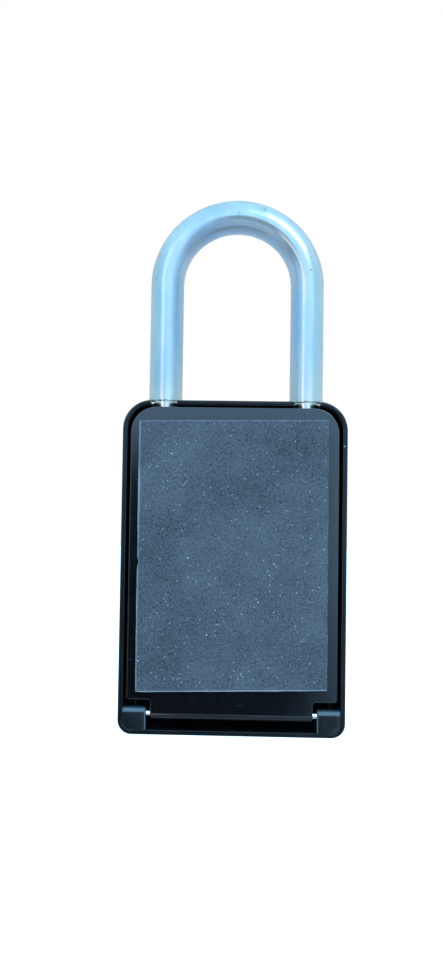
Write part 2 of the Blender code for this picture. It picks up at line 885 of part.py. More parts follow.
def make_dial_carrier():
    """Frame that holds the dial shaft, its two screws, and the detent spring with its screws."""
    outer = carrier_inner + carrier_wall
    low = dial_level - dial_radius - 0.0008 - carrier_wall
    high = dial_level + dial_radius + 0.0013 + carrier_wall
    front = cover_inside + touch_gap
    back = latch_y - 2 * running_gap
    bar_front = back - 0.0034
    carrier = block("dial_carrier", (-outer, outer), (front, back), (low, high), black_satin)
    cut(
        carrier,
        block(
            "carrier_hollow", (-carrier_inner, carrier_inner), (front - 0.01, bar_front),
            (low + carrier_wall, high + 0.01),
        ),
        block(
            "carrier_window", (-carrier_inner, carrier_inner), (bar_front - 0.001, back + 0.01),
            (low - 0.01, high - carrier_wall),
        ),
    )
    for side, x in both_sides(1):
        tab = block(
            "carrier_tab_" + side,
            tuple(sorted((x * (outer - overlap), x * (carrier_screw_x + small_screw[0] + 0.0008)))),
            (carrier_seat_y, carrier_seat_y + carrier_wall),
            (carrier_screw_level - 0.0034, carrier_screw_level + 0.0034),
        )
        join(carrier, tab)
    for side, x in both_sides(carrier_screw_x):
        hole = rod(
            "carrier_hole_" + side, "Y", (x, 0, carrier_screw_level), small_screw[2] + running_gap,
            carrier_seat_y - 0.001, carrier_seat_y + carrier_wall + 0.001,
        )
        cut(carrier, hole)
        seat = carrier_seat_y + carrier_wall + touch_gap
        fastener(
            "carrier_screw_" + side, "Y", (x, seat, carrier_screw_level), small_screw,
            seat - (cover_inside - 0.0005), 1, steel,
        )
    cut(
        carrier,
        rod(
            "carrier_bore", "X", (0, dial_y, dial_level), shaft_radius + running_gap,
            -body_width, body_width,
        ),
    )

    spring_top = high - carrier_wall - touch_gap
    spring_thickness = 0.0005
    strip_half = outer - 0.0026
    spring = block(
        "detent_spring", (-strip_half, strip_half), (bar_front, back),
        (spring_top - spring_thickness, spring_top), steel,
    )
    for i in range(dial_count):
        x = dial_centre(i)
        root = bar_front + overlap
        finger = plate(
            f"detent_finger_{i + 1}", "Z",
            [(x - 0.0024, root), (x - 0.0019, dial_y), (x + 0.0019, dial_y), (x + 0.0024, root)],
            spring_top - spring_thickness, spring_top,
        )
        join(spring, finger)
    for side, x in both_sides(dial_pitch):
        y = (bar_front + back) / 2
        hole = rod(
            "detent_hole_" + side, "Z", (x, y, 0), small_screw[2] + running_gap,
            spring_top - 0.002, high + 0.002, sides=16,
        )
        cut(carrier, hole)
        cut(spring, hole)
        seat = high + touch_gap
        fastener(
            "detent_screw_" + side, "Z", (x, y, seat), small_screw,
            seat - (spring_top - spring_thickness), -1, steel,
        )
    return carrier


def make_latch():
    """Latch plate with its bolt and fence fingers, the open lever in front, and their screw."""
    finger_high = dial_level - half_chord - fence_gap
    finger_low = finger_high - fence_height
    shoulder = stem_level - 0.0040
    low = finger_low - 0.0060
    outline = [
        (-latch_half_width, low), (latch_half_width, low), (latch_half_width, shoulder - 0.004),
        (bolt_half_width, shoulder), (bolt_half_width, bolt_top), (-bolt_half_width, bolt_top),
        (-bolt_half_width, shoulder), (-latch_half_width, shoulder - 0.004),
    ]
    latch = plate(
        "latch_plate", "Y", outline, latch_y, latch_y + latch_thickness, steel
    )
    for i in range(dial_count):
        left = dial_centre(i) + dial_width / 2 + running_gap + 0.0001
        finger = block(
            f"fence_finger_{i + 1}", (left, left + cam_thickness + 0.0003),
            (dial_y + fence_reach, latch_y + latch_thickness / 2), (finger_low, finger_high),
        )
        join(latch, finger)
    hole = rod(
        "latch_hole", "Y", (0, 0, stem_level), small_screw[2] + running_gap,
        latch_y - 0.001, latch_y + latch_thickness + 0.001,
    )
    cut(latch, hole)

    knob_low = shutter_high + 0.0022
    knob_back = cover_y - touch_gap
    knob_outline = corner_points(
        [
            (-knob_half_width, knob_low, 0.002),
            (knob_half_width, knob_low, 0.002),
            (knob_half_width, knob_low + knob_height, 0.002),
            (-knob_half_width, knob_low + knob_height, 0.002),
        ],
        step=22.5,
    )
    lever = plate(
        "open_lever", "Y", knob_outline, knob_back - knob_thickness, knob_back, lever_grey
    )
    stem = block(
        "lever_stem", (-stem_half_width, stem_half_width),
        (knob_back - knob_thickness / 2, latch_y - touch_gap),
        (stem_level - stem_height / 2, stem_level + stem_height / 2),
    )
    join(lever, stem)
    for k in range(3):
        level = knob_low + knob_height / 2 + (k - 1) * 0.0030
        rib = block(
            f"lever_rib_{k + 1}", (-knob_half_width + 0.0020, knob_half_width - 0.0020),
            (knob_back - knob_thickness - 0.0006, knob_back - knob_thickness / 2),
            (level - 0.0006, level + 0.0006),
        )
        join(lever, rib)
    bore = rod(
        "lever_bore", "Y", (0, 0, stem_level), small_screw[2] + running_gap,
        latch_y - 0.0070, latch_y + 0.001,
    )
    cut(lever, bore)
    seat = latch_y + latch_thickness + touch_gap
    screw = fastener(
        "lever_screw", "Y", (0, seat, stem_level), small_screw, 0.0065, 1, steel
    )
    return latch, lever, screw


def make_inner_cover():
    """Plate over the lock inside the front cover, and its four screws."""
    outline = corner_points(
        [
            (-inner_cover_half_width, inner_cover_low, 0.003),
            (inner_cover_half_width, inner_cover_low, 0.003),
            (inner_cover_half_width, inner_cover_high, 0.003),
            (-inner_cover_half_width, inner_cover_high, 0.003),
        ],
        step=22.5,
    )
    far = inner_cover_y + inner_cover_thickness
    plate_obj = plate("inner_cover", "Y", outline, inner_cover_y, far, black_satin)
    screw_slot = block(
        "screw_slot", (-small_screw[0] - 0.0008, small_screw[0] + 0.0008),
        (inner_cover_y - 0.001, far + 0.001),
        (stem_level - small_screw[0] - 0.0010, inner_cover_high + 0.005),
    )
    pivot_hole = rod(
        "reset_hole", "Y", (reset_x, 0, reset_level), 0.0020 + running_gap,
        inner_cover_y - 0.001, far + 0.001,
    )
    cut(plate_obj, screw_slot, pivot_hole)
    screws = []
    for row, level in zip(("lower", "upper"), post_levels):
        for side, x in both_sides(post_spacing / 2):
            hole = rod(
                f"cover_hole_{row}_{side}", "Y", (x, 0, level), cover_screw[2] + running_gap,
                inner_cover_y - 0.001, far + 0.001,
            )
            cut(plate_obj, hole)
            seat = far + touch_gap
            screws.append(
                fastener(
                    f"cover_screw_{row}_{side}", "Y", (x, seat, level), cover_screw,
                    seat - (post_bore_end + 0.0005), 1, steel,
                )
            )
    return [plate_obj, *screws]


def make_reset_lever():
    """Small lever behind the inner cover, for setting a new combination."""
    far = inner_cover_y + inner_cover_thickness
    arm_low = far + touch_gap
    width = 0.0032
    outline = corner_points(
        [
            (reset_x - width, reset_level - width, width * 0.95),
            (reset_x + width, reset_level - width, width * 0.95),
            (reset_x + width * 0.7, reset_level + reset_length, width * 0.5),
            (reset_x - width * 0.7, reset_level + reset_length, width * 0.5),
        ]
    )
    arm = plate("reset_lever", "Y", outline, arm_low, arm_low + 0.0018, lever_grey)
    stub = rod(
        "reset_stub", "Y", (reset_x, 0, reset_level), 0.0020,
        inner_cover_y - running_gap, arm_low + 0.0009,
    )
    join(arm, stub)
    return arm


def make_shutter():
    """Weather shutter that slides down off the dials.  Its hollow is open at the top, where the
    dials pass out of it."""
    back = cover_y - touch_gap
    half = shutter_half_width
    shutter = block(
        "weather_shutter", (-half, half), (front_y, back), (shutter_low, shutter_high), black_satin
    )
    round_marked_edges(shutter, 0.0010, 3, lambda p: p.y < front_y + 0.0001)
    hollow = block(
        "shutter_hollow", (-half + 0.0018, half - 0.0018), (front_y + shutter_skin, back + 0.01),
        (shutter_low + 0.0018, shutter_high + 0.01),
    )
    cut(shutter, hollow)
    for side, x in both_sides(1):
        flange = block(
            "shutter_flange_" + side,
            tuple(sorted((x * (half - overlap), x * (half + flange_width)))),
            (flange_front, back - 0.00005), (shutter_low + 0.0001, shutter_high - 0.0001),
        )
        join(shutter, flange)
    return shutter


# ---------------------------------------------------------------- build


def dial_centre(i):
    return (i - (dial_count - 1) / 2) * dial_pitch


for old in list(bpy.data.objects):
    bpy.data.objects.remove(old)

parts = fresh_collection("key_lock_box")
tools = fresh_collection("cutters")

black_gloss = finish("black_gloss", (0.012, 0.014, 0.017), 0.22)
black_satin = finish("black_satin", (0.016, 0.018, 0.021), 0.34)
foam_grey = finish("foam_grey", (0.062, 0.118, 0.185), 0.85)
steel = finish("steel", (0.55, 0.56, 0.58), 0.35, 1.0)
zinc_steel = finish("zinc_steel", (0.42, 0.66, 0.84), 0.25, 1.0)
clear_sleeve = finish("clear_sleeve", (0.80, 0.88, 0.93), 0.15, 0.0, 0.35)
brass = finish("brass", (0.72, 0.52, 0.22), 0.35, 1.0)
dial_black = finish("dial_black", (0.020, 0.020, 0.022), 0.40)
lever_grey = finish("lever_grey", (0.30, 0.31, 0.33), 0.45)

make_back_case()
make_foam_pad()
make_hinge_pin()
make_leg_bushes()
make_strike()
make_catch_retainer()
make_key_hook()

shackle_pivot = pivot("shackle_origin", (0, leg_y, arch_level))
hang(shackle_pivot, *make_shackle())
catch_pivot = pivot("catch_origin", (0, leg_y, catch_level))
hang(catch_pivot, make_shackle_catch())

door_pivot = pivot("door_origin", (0, hinge_y, hinge_height))
before_door = set(parts.objects)
make_front_cover()
make_dial_shaft()
make_dial_carrier()
make_inner_cover()
hang(door_pivot, *[piece for piece in parts.objects if piece not in before_door])

for number in range(dial_count):
    dial_pivot = pivot(
        f"dial_origin_{number + 1}", (dial_centre(number), dial_y, dial_level), door_pivot
    )
    hang(dial_pivot, *make_dial(number))
hang(pivot("latch_origin", (0, latch_y, stem_level), door_pivot), *make_latch())
hang(pivot("reset_origin", (reset_x, inner_cover_y, reset_level), door_pivot), make_reset_lever())
hang(pivot("shutter_origin", (0, front_y, shutter_low), door_pivot), make_shutter())
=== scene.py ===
import json
import math

import bmesh
import bpy
from mathutils import Matrix, Vector, noise


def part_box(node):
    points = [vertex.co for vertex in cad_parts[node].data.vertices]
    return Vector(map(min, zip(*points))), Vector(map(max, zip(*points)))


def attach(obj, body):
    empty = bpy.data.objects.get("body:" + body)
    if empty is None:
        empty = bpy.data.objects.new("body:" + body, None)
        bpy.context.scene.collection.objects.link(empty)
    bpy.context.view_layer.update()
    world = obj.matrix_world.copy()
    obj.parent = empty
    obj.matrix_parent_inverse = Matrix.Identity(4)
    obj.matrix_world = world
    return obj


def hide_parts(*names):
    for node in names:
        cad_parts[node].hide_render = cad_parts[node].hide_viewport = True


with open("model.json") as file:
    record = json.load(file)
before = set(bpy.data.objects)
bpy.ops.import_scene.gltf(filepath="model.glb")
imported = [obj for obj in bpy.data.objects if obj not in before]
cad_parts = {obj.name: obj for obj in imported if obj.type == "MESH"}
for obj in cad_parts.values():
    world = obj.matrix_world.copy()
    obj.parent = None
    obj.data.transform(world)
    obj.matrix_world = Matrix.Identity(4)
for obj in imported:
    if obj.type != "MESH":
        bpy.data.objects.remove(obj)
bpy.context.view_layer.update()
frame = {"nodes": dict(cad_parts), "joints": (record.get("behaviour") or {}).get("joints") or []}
cadNodes = frame["nodes"]
print("frame loaded with", len(cadNodes), "solids")

# Places taken from the solids, in metres.
coverLow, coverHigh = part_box("front_cover")
caseLow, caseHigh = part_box("back_case")
foamLow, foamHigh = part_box("foam_pad")
barLow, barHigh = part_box("shackle_bar")
sleeveLow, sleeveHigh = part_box("shackle_sleeve")
dialLow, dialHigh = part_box("dial_1")
pinLow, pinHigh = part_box("hinge_pin")
knobLow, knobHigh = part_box("open_lever")
shutterLow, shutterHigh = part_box("weather_shutter")

legY = (barLow.y + barHigh.y) / 2
barRadius = (barHigh.y - barLow.y) / 2
sleeveRadius = (sleeveHigh.y - sleeveLow.y) / 2
legX = sleeveHigh.x - sleeveRadius
archZ = sleeveHigh.z - sleeveRadius - legX
hingeY = (pinLow.y + pinHigh.y) / 2
hingeZ = (pinLow.z + pinHigh.z) / 2
dialY = (dialLow.y + dialHigh.y) / 2
dialZ = (dialLow.z + dialHigh.z) / 2
dialRadius = (dialHigh.z - dialLow.z) / 2

bothSides = ((-1, "left"), (1, "right"))
past = 0.001  # how far a cutter reaches past what it cuts


def adds(operation, swap=False):  # a method that adds one Math node
    def method(self, *others):
        values = (*others, self) if swap else (self, *others)
        return self.maths(operation, *values)
    return method


# One output of a node: arithmetic on it adds Math nodes.
class Signal:
    def __init__(self, sheet, node, key):
        self.sheet, self.node, self.key = sheet, node, key

    def also(self, key):  # another output of the same node
        return Signal(self.sheet, self.node, key)

    def maths(self, operation, *values, clamp=False):
        settings = {"operation": operation, "use_clamp": clamp}
        return self.sheet.node("ShaderNodeMath", settings, dict(enumerate(values)))

    __add__ = __radd__ = adds("ADD")
    __mul__ = __rmul__ = adds("MULTIPLY")
    __sub__, __rsub__ = adds("SUBTRACT"), adds("SUBTRACT", swap=True)
    __truediv__, __pow__, __abs__ = adds("DIVIDE"), adds("POWER"), adds("ABSOLUTE")
    most, least = adds("MAXIMUM"), adds("MINIMUM")
    over = adds("GREATER_THAN")  # 1 where the value is above the level

    def rise(self, low, high):  # soft step from 0 at low to 1 at high
        settings = {"interpolation_type": "SMOOTHSTEP"}
        sockets = {"Value": self, "From Min": low, "From Max": high}
        return self.sheet.node("ShaderNodeMapRange", settings, sockets)

    def clamped(self):
        return self.maths("ADD", self, 0.0, clamp=True)


# A node tree, with one way to add any node to it.
class Sheet:
    def __init__(self, tree):
        self.tree = tree

    def node(self, kind, settings=None, sockets=None, out=0):
        made = self.tree.nodes.new(kind)
        for key, value in (settings or {}).items():
            setattr(made, key, value)
        self.feed(made, sockets)
        return Signal(self, made, out)

    def feed(self, made, sockets):
        for key, value in (sockets or {}).items():
            if isinstance(value, Signal):
                self.tree.links.new(value.node.outputs[value.key], made.inputs[key])
            else:
                made.inputs[key].default_value = value

    def split(self, where):
        parts = self.node("ShaderNodeSeparateXYZ", None, {0: where})
        return parts, parts.also(1), parts.also(2)

    def blend(self, amount, first, second):  # colours
        sockets = {0: amount, 6: first, 7: second}
        return self.node("ShaderNodeMix", {"data_type": "RGBA"}, sockets, 2)

    def cloud(self, where, scale, detail=2.0, rough=0.5):
        sockets = {"Vector": where, "Scale": scale, "Detail": detail, "Roughness": rough}
        return self.node("ShaderNodeTexNoise", None, sockets)

    def drawnCloud(self, where, scales, detail, rough=0.5, turn=(0, 0, 0)):  # a scale for each axis
        sockets = {"Vector": where, "Scale": scales, "Rotation": turn}
        return self.cloud(self.node("ShaderNodeMapping", None, sockets), 1.0, detail, rough)

    def specks(self, where, scale, size, share):  # round marks, in a share of the cells
        cells = self.node("ShaderNodeTexVoronoi", None, {"Vector": where, "Scale": scale})
        chance = self.node("ShaderNodeSeparateColor", None, {0: cells.also(1)})
        return (1 - cells.rise(size * 0.45, size)) * chance.over(1 - share)

    def bump(self, height, strength, distance):
        sockets = {"Height": height, "Strength": strength, "Distance": distance}
        return self.node("ShaderNodeBump", None, sockets)


def rgb(red, green, blue):
    return (red, green, blue, 1.0)


# A material with its sheet, its shader and its place on the piece.
def newFinish(name, **constants):
    material = bpy.data.materials.new(name)
    material.use_nodes = True
    sheet = Sheet(material.node_tree)
    shader = material.node_tree.nodes["Principled BSDF"]
    for key, value in constants.items():
        shader.inputs[key.replace("_", " ")].default_value = value
    where = sheet.node("ShaderNodeTexCoord", out="Object")
    return material, sheet, shader, where


def closeFinish(material, sheet, shader, colour, rough, relief):
    sheet.feed(shader, {"Base Color": colour, "Roughness": rough.clamped(), "Normal": relief})
    return material


foamLook = {
    "dark": rgb(0.018, 0.024, 0.032),
    "light": rgb(0.081, 0.100, 0.125),
    # paler pinched cut edge, with a painted highlight where the edges catch the light
    "edge": rgb(0.170, 0.200, 0.230),
    "pore": rgb(0.006, 0.012, 0.020),
    "dust": rgb(0.50, 0.62, 0.68),
    "edgeWidth": 0.00045,
    "slants": (0.025, 0.013),  # of the lower and upper edges
    "textures": ((2100, 3, 0.7), (1150, 2, 0.6), (3200, 2), (70, 4, 0.6)),  # scale, detail, roughness
    "streaks": (170, 60, 1600),
    "pores": (900, 0.36, 0.14),  # scale, size, share
    "holes": (260, 0.12, 0.20),
    "wideHoles": (90, 0.075, 0.12),
    "thickDust": (620, 0.22, 0.03),
    "coarseDust": (330, 0.115, 0.022),
    "fineDust": (1300, 0.40, 0.05),
}


def makeFoamFinish():
    material, sheet, shader, where = newFinish("foamRubber", Roughness=0.9)
    across, depth, level = sheet.split(where)
    grain, clumps, skin, patches = (sheet.cloud(where, *texture) for texture in foamLook["textures"])
    tone = (grain - 0.5) * 2.6 + (clumps - 0.5) * 1.5 + (skin - 0.5) * 1.6
    tone = (tone + (patches - 0.5) * 1.1 + 0.5).clamped()
    colour = sheet.blend(tone, foamLook["dark"], foamLook["light"])
    wide = foamLook["edgeWidth"]
    lowSlant, topSlant = foamLook["slants"]
    # Painted highlight along the cut edges, strongest at the bottom and left and weak at the top, on a
    # paler pinched edge
    leftEdgeSheen = across.rise(foamHigh.x - wide * 2.6, foamHigh.x - wide * 1.2)
    lowEdgeSheen = 1 - (level + across * lowSlant).rise(foamLow.z + wide * 2.6, foamLow.z + wide * 3.6)
    topEdgeSheen = (level + across * topSlant).rise(foamHigh.z - wide * 2.4, foamHigh.z - wide * 1.4)
    edges = leftEdgeSheen.most(lowEdgeSheen * 1.4).most(topEdgeSheen * 0.55)
    colour = sheet.blend((edges * (patches * 1.5 - 0.05)).clamped(), colour, foamLook["edge"])
    pores, holes, wideHoles, thickDust, coarseDust, fineDust = (
        sheet.specks(where, *foamLook[key])
        for key in ("pores", "holes", "wideHoles", "thickDust", "coarseDust", "fineDust"))
    holes = holes.most(wideHoles)
    colour = sheet.blend((pores * 0.8).most(holes * 0.8), colour, foamLook["pore"])
    streaks = sheet.drawnCloud(where, foamLook["streaks"], 2, turn=(0, 0.25, 0))
    colour = sheet.blend(streaks.rise(0.72, 0.80) * 0.22, colour, foamLook["dust"])
    gathered = patches.rise(0.44, 0.60)  # where the dust lies thick
    dust = (thickDust * gathered * 0.6).most(coarseDust).most(fineDust * 0.4)
    colour = sheet.blend(dust * 0.85, colour, foamLook["dust"])
    relief = sheet.bump(grain + skin * 0.7 - pores * 0.7 - holes, 0.7, 0.00022)
    sheet.feed(shader, {"Base Color": colour, "Normal": relief, "Roughness": 0.84 + grain * 0.14})
    return material


# Moulded plastics: colour, roughness, the skin's scale and depth, how dusty, refraction.
def plasticLook(base, rough, skin, depth, dust, index=1.52):
    look = {"base": rgb(*base), "rough": rough, "skin": skin, "depth": depth, "dust": dust}
    return {**look, "index": index}


glossLook = plasticLook((0.0022, 0.0026, 0.0032), 0.13, 900, 0.010, 0.5)
satinLook = plasticLook((0.0028, 0.0036, 0.0048), 0.25, 2300, 0.05, 0.3, 1.38)
# The knuckles' extra colour is a painted highlight on their upward faces and their upright edge.
knuckleLook = {**satinLook, "index": 1.50, "paintedSheen": rgb(0.040, 0.078, 0.108)}
innerLook = plasticLook((0.014, 0.016, 0.018), 0.42, 1800, 0.08, 0.1)
dialLook = plasticLook((0.016, 0.016, 0.018), 0.36, 2600, 0.05, 0.1)
leverLook = plasticLook((0.22, 0.23, 0.25), 0.45, 2000, 0.08, 0.1)


def makePlasticFinish(name, look, coat=0.0):
    material, sheet, shader, where = newFinish(
        name, IOR=look["index"], Coat_Weight=coat, Coat_Roughness=0.08)
    skin = sheet.cloud(where, look["skin"], 2)
    smears = sheet.drawnCloud(where, (90, 90, 35), 4, 0.6)
    hairs = sheet.drawnCloud(where, (120, 120, 2400), 1, turn=(0, 0.6, 0)).rise(0.76, 0.82)
    dust = sheet.specks(where, 330, 0.13, 0.05 * look["dust"])
    bigDust = sheet.specks(where, 120, 0.07, 0.10 * look["dust"])
    marks = dust.most(bigDust).most(hairs * 0.12)
    paler = rgb(*[part * 1.6 + 0.0008 for part in look["base"][:3]])
    colour = sheet.blend(smears.rise(0.45, 0.75), look["base"], paler)
    if "paintedSheen" in look:  # painted highlight on what faces up and along the upright edge that faces sideways and back
        sideways, back, up = sheet.split(sheet.node("ShaderNodeNewGeometry", out=1))
        edgeSheen = abs(sideways).rise(0.20, 0.45) * back.rise(0.15, 0.30) * 0.9
        paintedSheen = up.rise(0.08, 0.45).most(edgeSheen) * (0.6 + smears * 0.8).clamped()
        colour = sheet.blend(paintedSheen, colour, look["paintedSheen"])
    colour = sheet.blend(marks * 0.55, colour, rgb(0.35, 0.42, 0.48))
    rough = look["rough"] + (smears - 0.5) * 0.16 + marks * 0.4
    relief = sheet.bump(skin + smears * 0.3, look["depth"] * 4, 0.0001)
    return closeFinish(material, sheet, shader, colour, rough, relief)


# Zinc plating with its blue and rainbow tint.
zincLook = {
    "blue": rgb(0.34, 0.46, 0.50),
    "pale": rgb(0.46, 0.53, 0.50),
    "green": rgb(0.55, 0.56, 0.42),
    "pink": rgb(0.60, 0.50, 0.50),
    "grey": rgb(0.70, 0.60, 0.49),
    # painted shade for the inside of the loop
    "deep": rgb(0.25, 0.37, 0.53),
    "stain": rgb(0.05, 0.10, 0.14),
    "rough": 0.22,
}


def makeZincFinish():
    material, sheet, shader, where = newFinish("zincPlate", Metallic=1.0)
    across, depth, level = sheet.split(where)
    broad = sheet.drawnCloud(where, (160, 160, 22), 3)
    other = sheet.drawnCloud(where, (120, 120, 30), 2, turn=(0, 0, 0.7))
    brush = sheet.drawnCloud(where, (2600, 2600, 90), 2)
    colour = sheet.blend(broad.rise(0.35, 0.65), zincLook["blue"], zincLook["pale"])
    rise = (level - archZ).most(0.0)
    inward = legX - (across * across + rise * rise) ** 0.5  # towards the inside of the loop
    # Painted shade: darker blue on the inside of the loop, most at the crown, standing in for the dark
    # reflection there
    innerShade = inward.rise(0.0004, 0.0032) * (0.35 + other * 0.5 + rise / legX * 0.3)
    colour = sheet.blend(innerShade, colour, zincLook["deep"])
    top = caseHigh.z
    lower = 1 - level.rise(top + 0.002, top + 0.024)
    mottled = (other.rise(0.52, 0.70) * 0.45 + lower * 0.35).clamped()
    colour = sheet.blend(mottled, colour, zincLook["green"])
    ends = level.rise(top - 0.004, top) - level.rise(top + 0.001, top + 0.014)
    colour = sheet.blend(ends * 0.75, colour, zincLook["grey"])
    colour = sheet.blend((0.62 - other).rise(0.16, 0.30) * 0.5, colour, zincLook["pink"])
    specks = sheet.specks(where, 300, 0.14, 0.16)
    colour = sheet.blend(specks * 0.75, colour, zincLook["stain"])
    rough = zincLook["rough"] + (brush - 0.5) * 0.05 + (broad - 0.5) * 0.12 + specks * 0.3
    relief = sheet.bump(brush * 0.3 + broad, 0.03, 0.00004)
    return closeFinish(material, sheet, shader, colour, rough, relief)


vinylLook = {
    "tint": rgb(0.95, 0.985, 1.0),
    "milk": rgb(0.78, 0.86, 0.92),
    "speck": rgb(0.10, 0.14, 0.18),
    "rough": 0.10,
}


def makeVinylFinish():
    material, sheet, shader, where = newFinish("clearVinyl", Transmission_Weight=0.86, IOR=1.46)
    broad = sheet.drawnCloud(where, (110, 110, 40), 3)
    lines = sheet.drawnCloud(where, (900, 900, 14), 2)
    specks = sheet.specks(where, 210, 0.13, 0.05)
    colour = sheet.blend(broad.rise(0.4, 0.7), vinylLook["tint"], vinylLook["milk"])
    colour = sheet.blend(specks * 0.8, colour, vinylLook["speck"])
    rough = vinylLook["rough"] + (broad - 0.5) * 0.12
    relief = sheet.bump(lines + broad * 2, 0.10, 0.00008)
    return closeFinish(material, sheet, shader, colour, rough, relief)


# Metals: two tones, roughness, and the scale of the brush marks along each axis.
steelLook = (rgb(0.40, 0.42, 0.45), rgb(0.62, 0.64, 0.67), 0.34, (900, 900, 60))
pinLook = (rgb(0.62, 0.66, 0.70), rgb(0.86, 0.90, 0.94), 0.20, (60, 900, 900))
brassLook = (rgb(0.60, 0.40, 0.14), rgb(0.82, 0.60, 0.27), 0.30, (60, 1200, 1200))


def makeMetalFinish(name, look):
    dark, light, rough, scales = look
    material, sheet, shader, where = newFinish(name, Metallic=1.0)
    marks = sheet.drawnCloud(where, scales, 3)
    blotches = sheet.cloud(where, 140, 4, 0.65)
    colour = sheet.blend((marks * 0.5 + blotches * 0.5).clamped(), dark, light)
    rough = rough + (marks - 0.5) * 0.22 + (blotches - 0.5) * 0.2
    relief = sheet.bump(marks + blotches, 0.15, 0.00005)
    return closeFinish(material, sheet, shader, colour, rough, relief)


def makeInkFinish():
    material, sheet, shader, where = newFinish("digitPaint", Roughness=0.5)
    wear = sheet.cloud(where, 1400, 4, 0.7)
    colour = sheet.blend(wear.rise(0.56, 0.72), rgb(0.82, 0.83, 0.82), rgb(0.50, 0.51, 0.52))
    sheet.feed(shader, {"Base Color": colour, "Roughness": 0.42 + wear * 0.2})
    return material


foamRubber = makeFoamFinish()
glossBlack = makePlasticFinish("glossBlack", glossLook, coat=0.7)
barrelBlack = makePlasticFinish("barrelBlack", glossLook)
satinBlack = makePlasticFinish("satinBlack", satinLook)
knuckleBlack = makePlasticFinish("knuckleBlack", knuckleLook, coat=0.9)
innerBlack = makePlasticFinish("innerBlack", innerLook)
dialBlack = makePlasticFinish("dialBlack", dialLook)
leverGrey = makePlasticFinish("leverGrey", leverLook)
zincPlate = makeZincFinish()
clearVinyl = makeVinylFinish()
plainSteel = makeMetalFinish("plainSteel", steelLook)
pinSteel = makeMetalFinish("pinSteel", pinLook)
turnedBrass = makeMetalFinish("turnedBrass", brassLook)
digitPaint = makeInkFinish()
print("finishes made")


def fullTurn(steps):
    return [2 * math.pi * k / steps for k in range(steps)]


# Outline of (x, y, radius) corners, anticlockwise. The inset moves every side inward.
def roundedOutline(corners, inset=0.0, steps=8):
    count = len(corners)
    sides = []
    for i in range(count):
        start, end = Vector(corners[i][:2]), Vector(corners[(i + 1) % count][:2])
        along = (end - start).normalized()
        sides.append((start + Vector((-along.y, along.x)) * inset, along))
    points = []
    for i in range(count):
        (p, before), (q, after) = sides[i - 1], sides[i]
        cross = before.x * after.y - before.y * after.x
        reach = ((q.x - p.x) * after.y - (q.y - p.y) * after.x) / cross
        hand = 1 if cross > 0 else -1
        radius = max(corners[i][2] - hand * inset, 0.00002)
        half = before.angle(after) / 2
        first = p + before * (reach - radius * math.tan(half))
        centre = first + Vector((-before.y, before.x)) * radius * hand
        arm = first - centre
        for k in range(steps + 1):
            points.append(centre + Matrix.Rotation(2 * half * hand * k / steps, 2) @ arm)
    return points


# Insets and depths for a slab whose two edges are rounded.
def softEdges(low, high, lowRound=0.0, highRound=0.0, steps=4):
    stations = []
    for edge, size, side in ((low, lowRound, 1), (high, highRound, -1)):
        arc = []
        for k in range(steps + 1 if size else 1):
            turn = math.pi / 2 * k / steps
            arc.append((size * (1 - math.sin(turn)), edge + side * size * (1 - math.cos(turn))))
        stations += arc[::side]
    return stations


def cornersOf(low, high, radius=0.0):
    (a, b), (c, d) = low, high
    return [(a, b, radius), (c, b, radius), (c, d, radius), (a, d, radius)]


def standUp(axis, flat, depth):
    a, b = flat
    return {"X": (depth, a, b), "Y": (a, depth, b), "Z": (a, b, depth)}[axis]


def addObject(name, data):
    made = bpy.data.objects.new(name, data)
    bpy.context.scene.collection.objects.link(made)
    return made


def meshOf(name, shape):
    mesh = bpy.data.meshes.new(name)
    shape.to_mesh(mesh)
    shape.free()
    return mesh


def dress(piece, material, sharp=35):
    piece.data.materials.clear()
    piece.data.materials.append(material)
    piece.data.shade_smooth()
    piece.data.set_sharp_from_angle(angle=math.radians(sharp))
    for face in piece.data.polygons:  # broad flats stay flat beside their rounded edges
        if face.area > 0.00006:
            face.use_smooth = False
    return piece


def makePiece(name, shape, material, sharp=35):
    bmesh.ops.remove_doubles(shape, verts=shape.verts, dist=0.0000005)
    bmesh.ops.recalc_face_normals(shape, faces=shape.faces)
    return dress(addObject(name, meshOf(name, shape)), material, sharp)


def makeLoft(name, rings, material, closed=False):
    shape = bmesh.new()
    rows = [[shape.verts.new(point) for point in ring] for ring in rings]
    for near, far in zip(rows, rows[1:] + rows[:1] if closed else rows[1:]):
        for i in range(len(near)):
            j = (i + 1) % len(near)
            shape.faces.new((near[i], near[j], far[j], far[i]))
    if not closed:
        shape.faces.new(rows[0])
        shape.faces.new(rows[-1])
    return makePiece(name, shape, material)


def makeSlab(name, axis, corners, stations, material, steps=8):
    return makeLoft(name, [
        [standUp(axis, point, depth) for point in roundedOutline(corners, inset, steps)]
        for inset, depth in stations
    ], material)


# A profile of (radius, height) turned round an axis.
def makeTurned(name, axis, centre, profile, material, steps=48, closed=False):
    rings = []
    for radius, height in profile:
        radius = max(radius, 0.000001)
        flats = [(radius * math.cos(turn), radius * math.sin(turn)) for turn in fullTurn(steps)]
        rings.append([Vector(standUp(axis, flat, height)) + Vector(centre) for flat in flats])
    return makeLoft(name, rings, material, closed)


def settle(piece):  # what the modifiers make becomes the mesh
    view = bpy.context.evaluated_depsgraph_get()
    mesh = bpy.data.meshes.new_from_object(piece.evaluated_get(view))
    piece.modifiers.clear()
    piece.data = mesh
    return piece


def reshape(piece, kind, **settings):
    modifier = piece.modifiers.new(kind, kind)
    for key, value in settings.items():
        setattr(modifier, key, value)
    return settle(piece)


def breakEdges(piece, width, segments, angle):
    limit = math.radians(angle)
    return reshape(piece, "BEVEL", width=width, segments=segments, limit_method="ANGLE", angle_limit=limit)


def combine(piece, other, operation="DIFFERENCE"):
    reshape(piece, "BOOLEAN", operation=operation, solver="EXACT", object=other)
    bpy.data.objects.remove(other)
    return piece


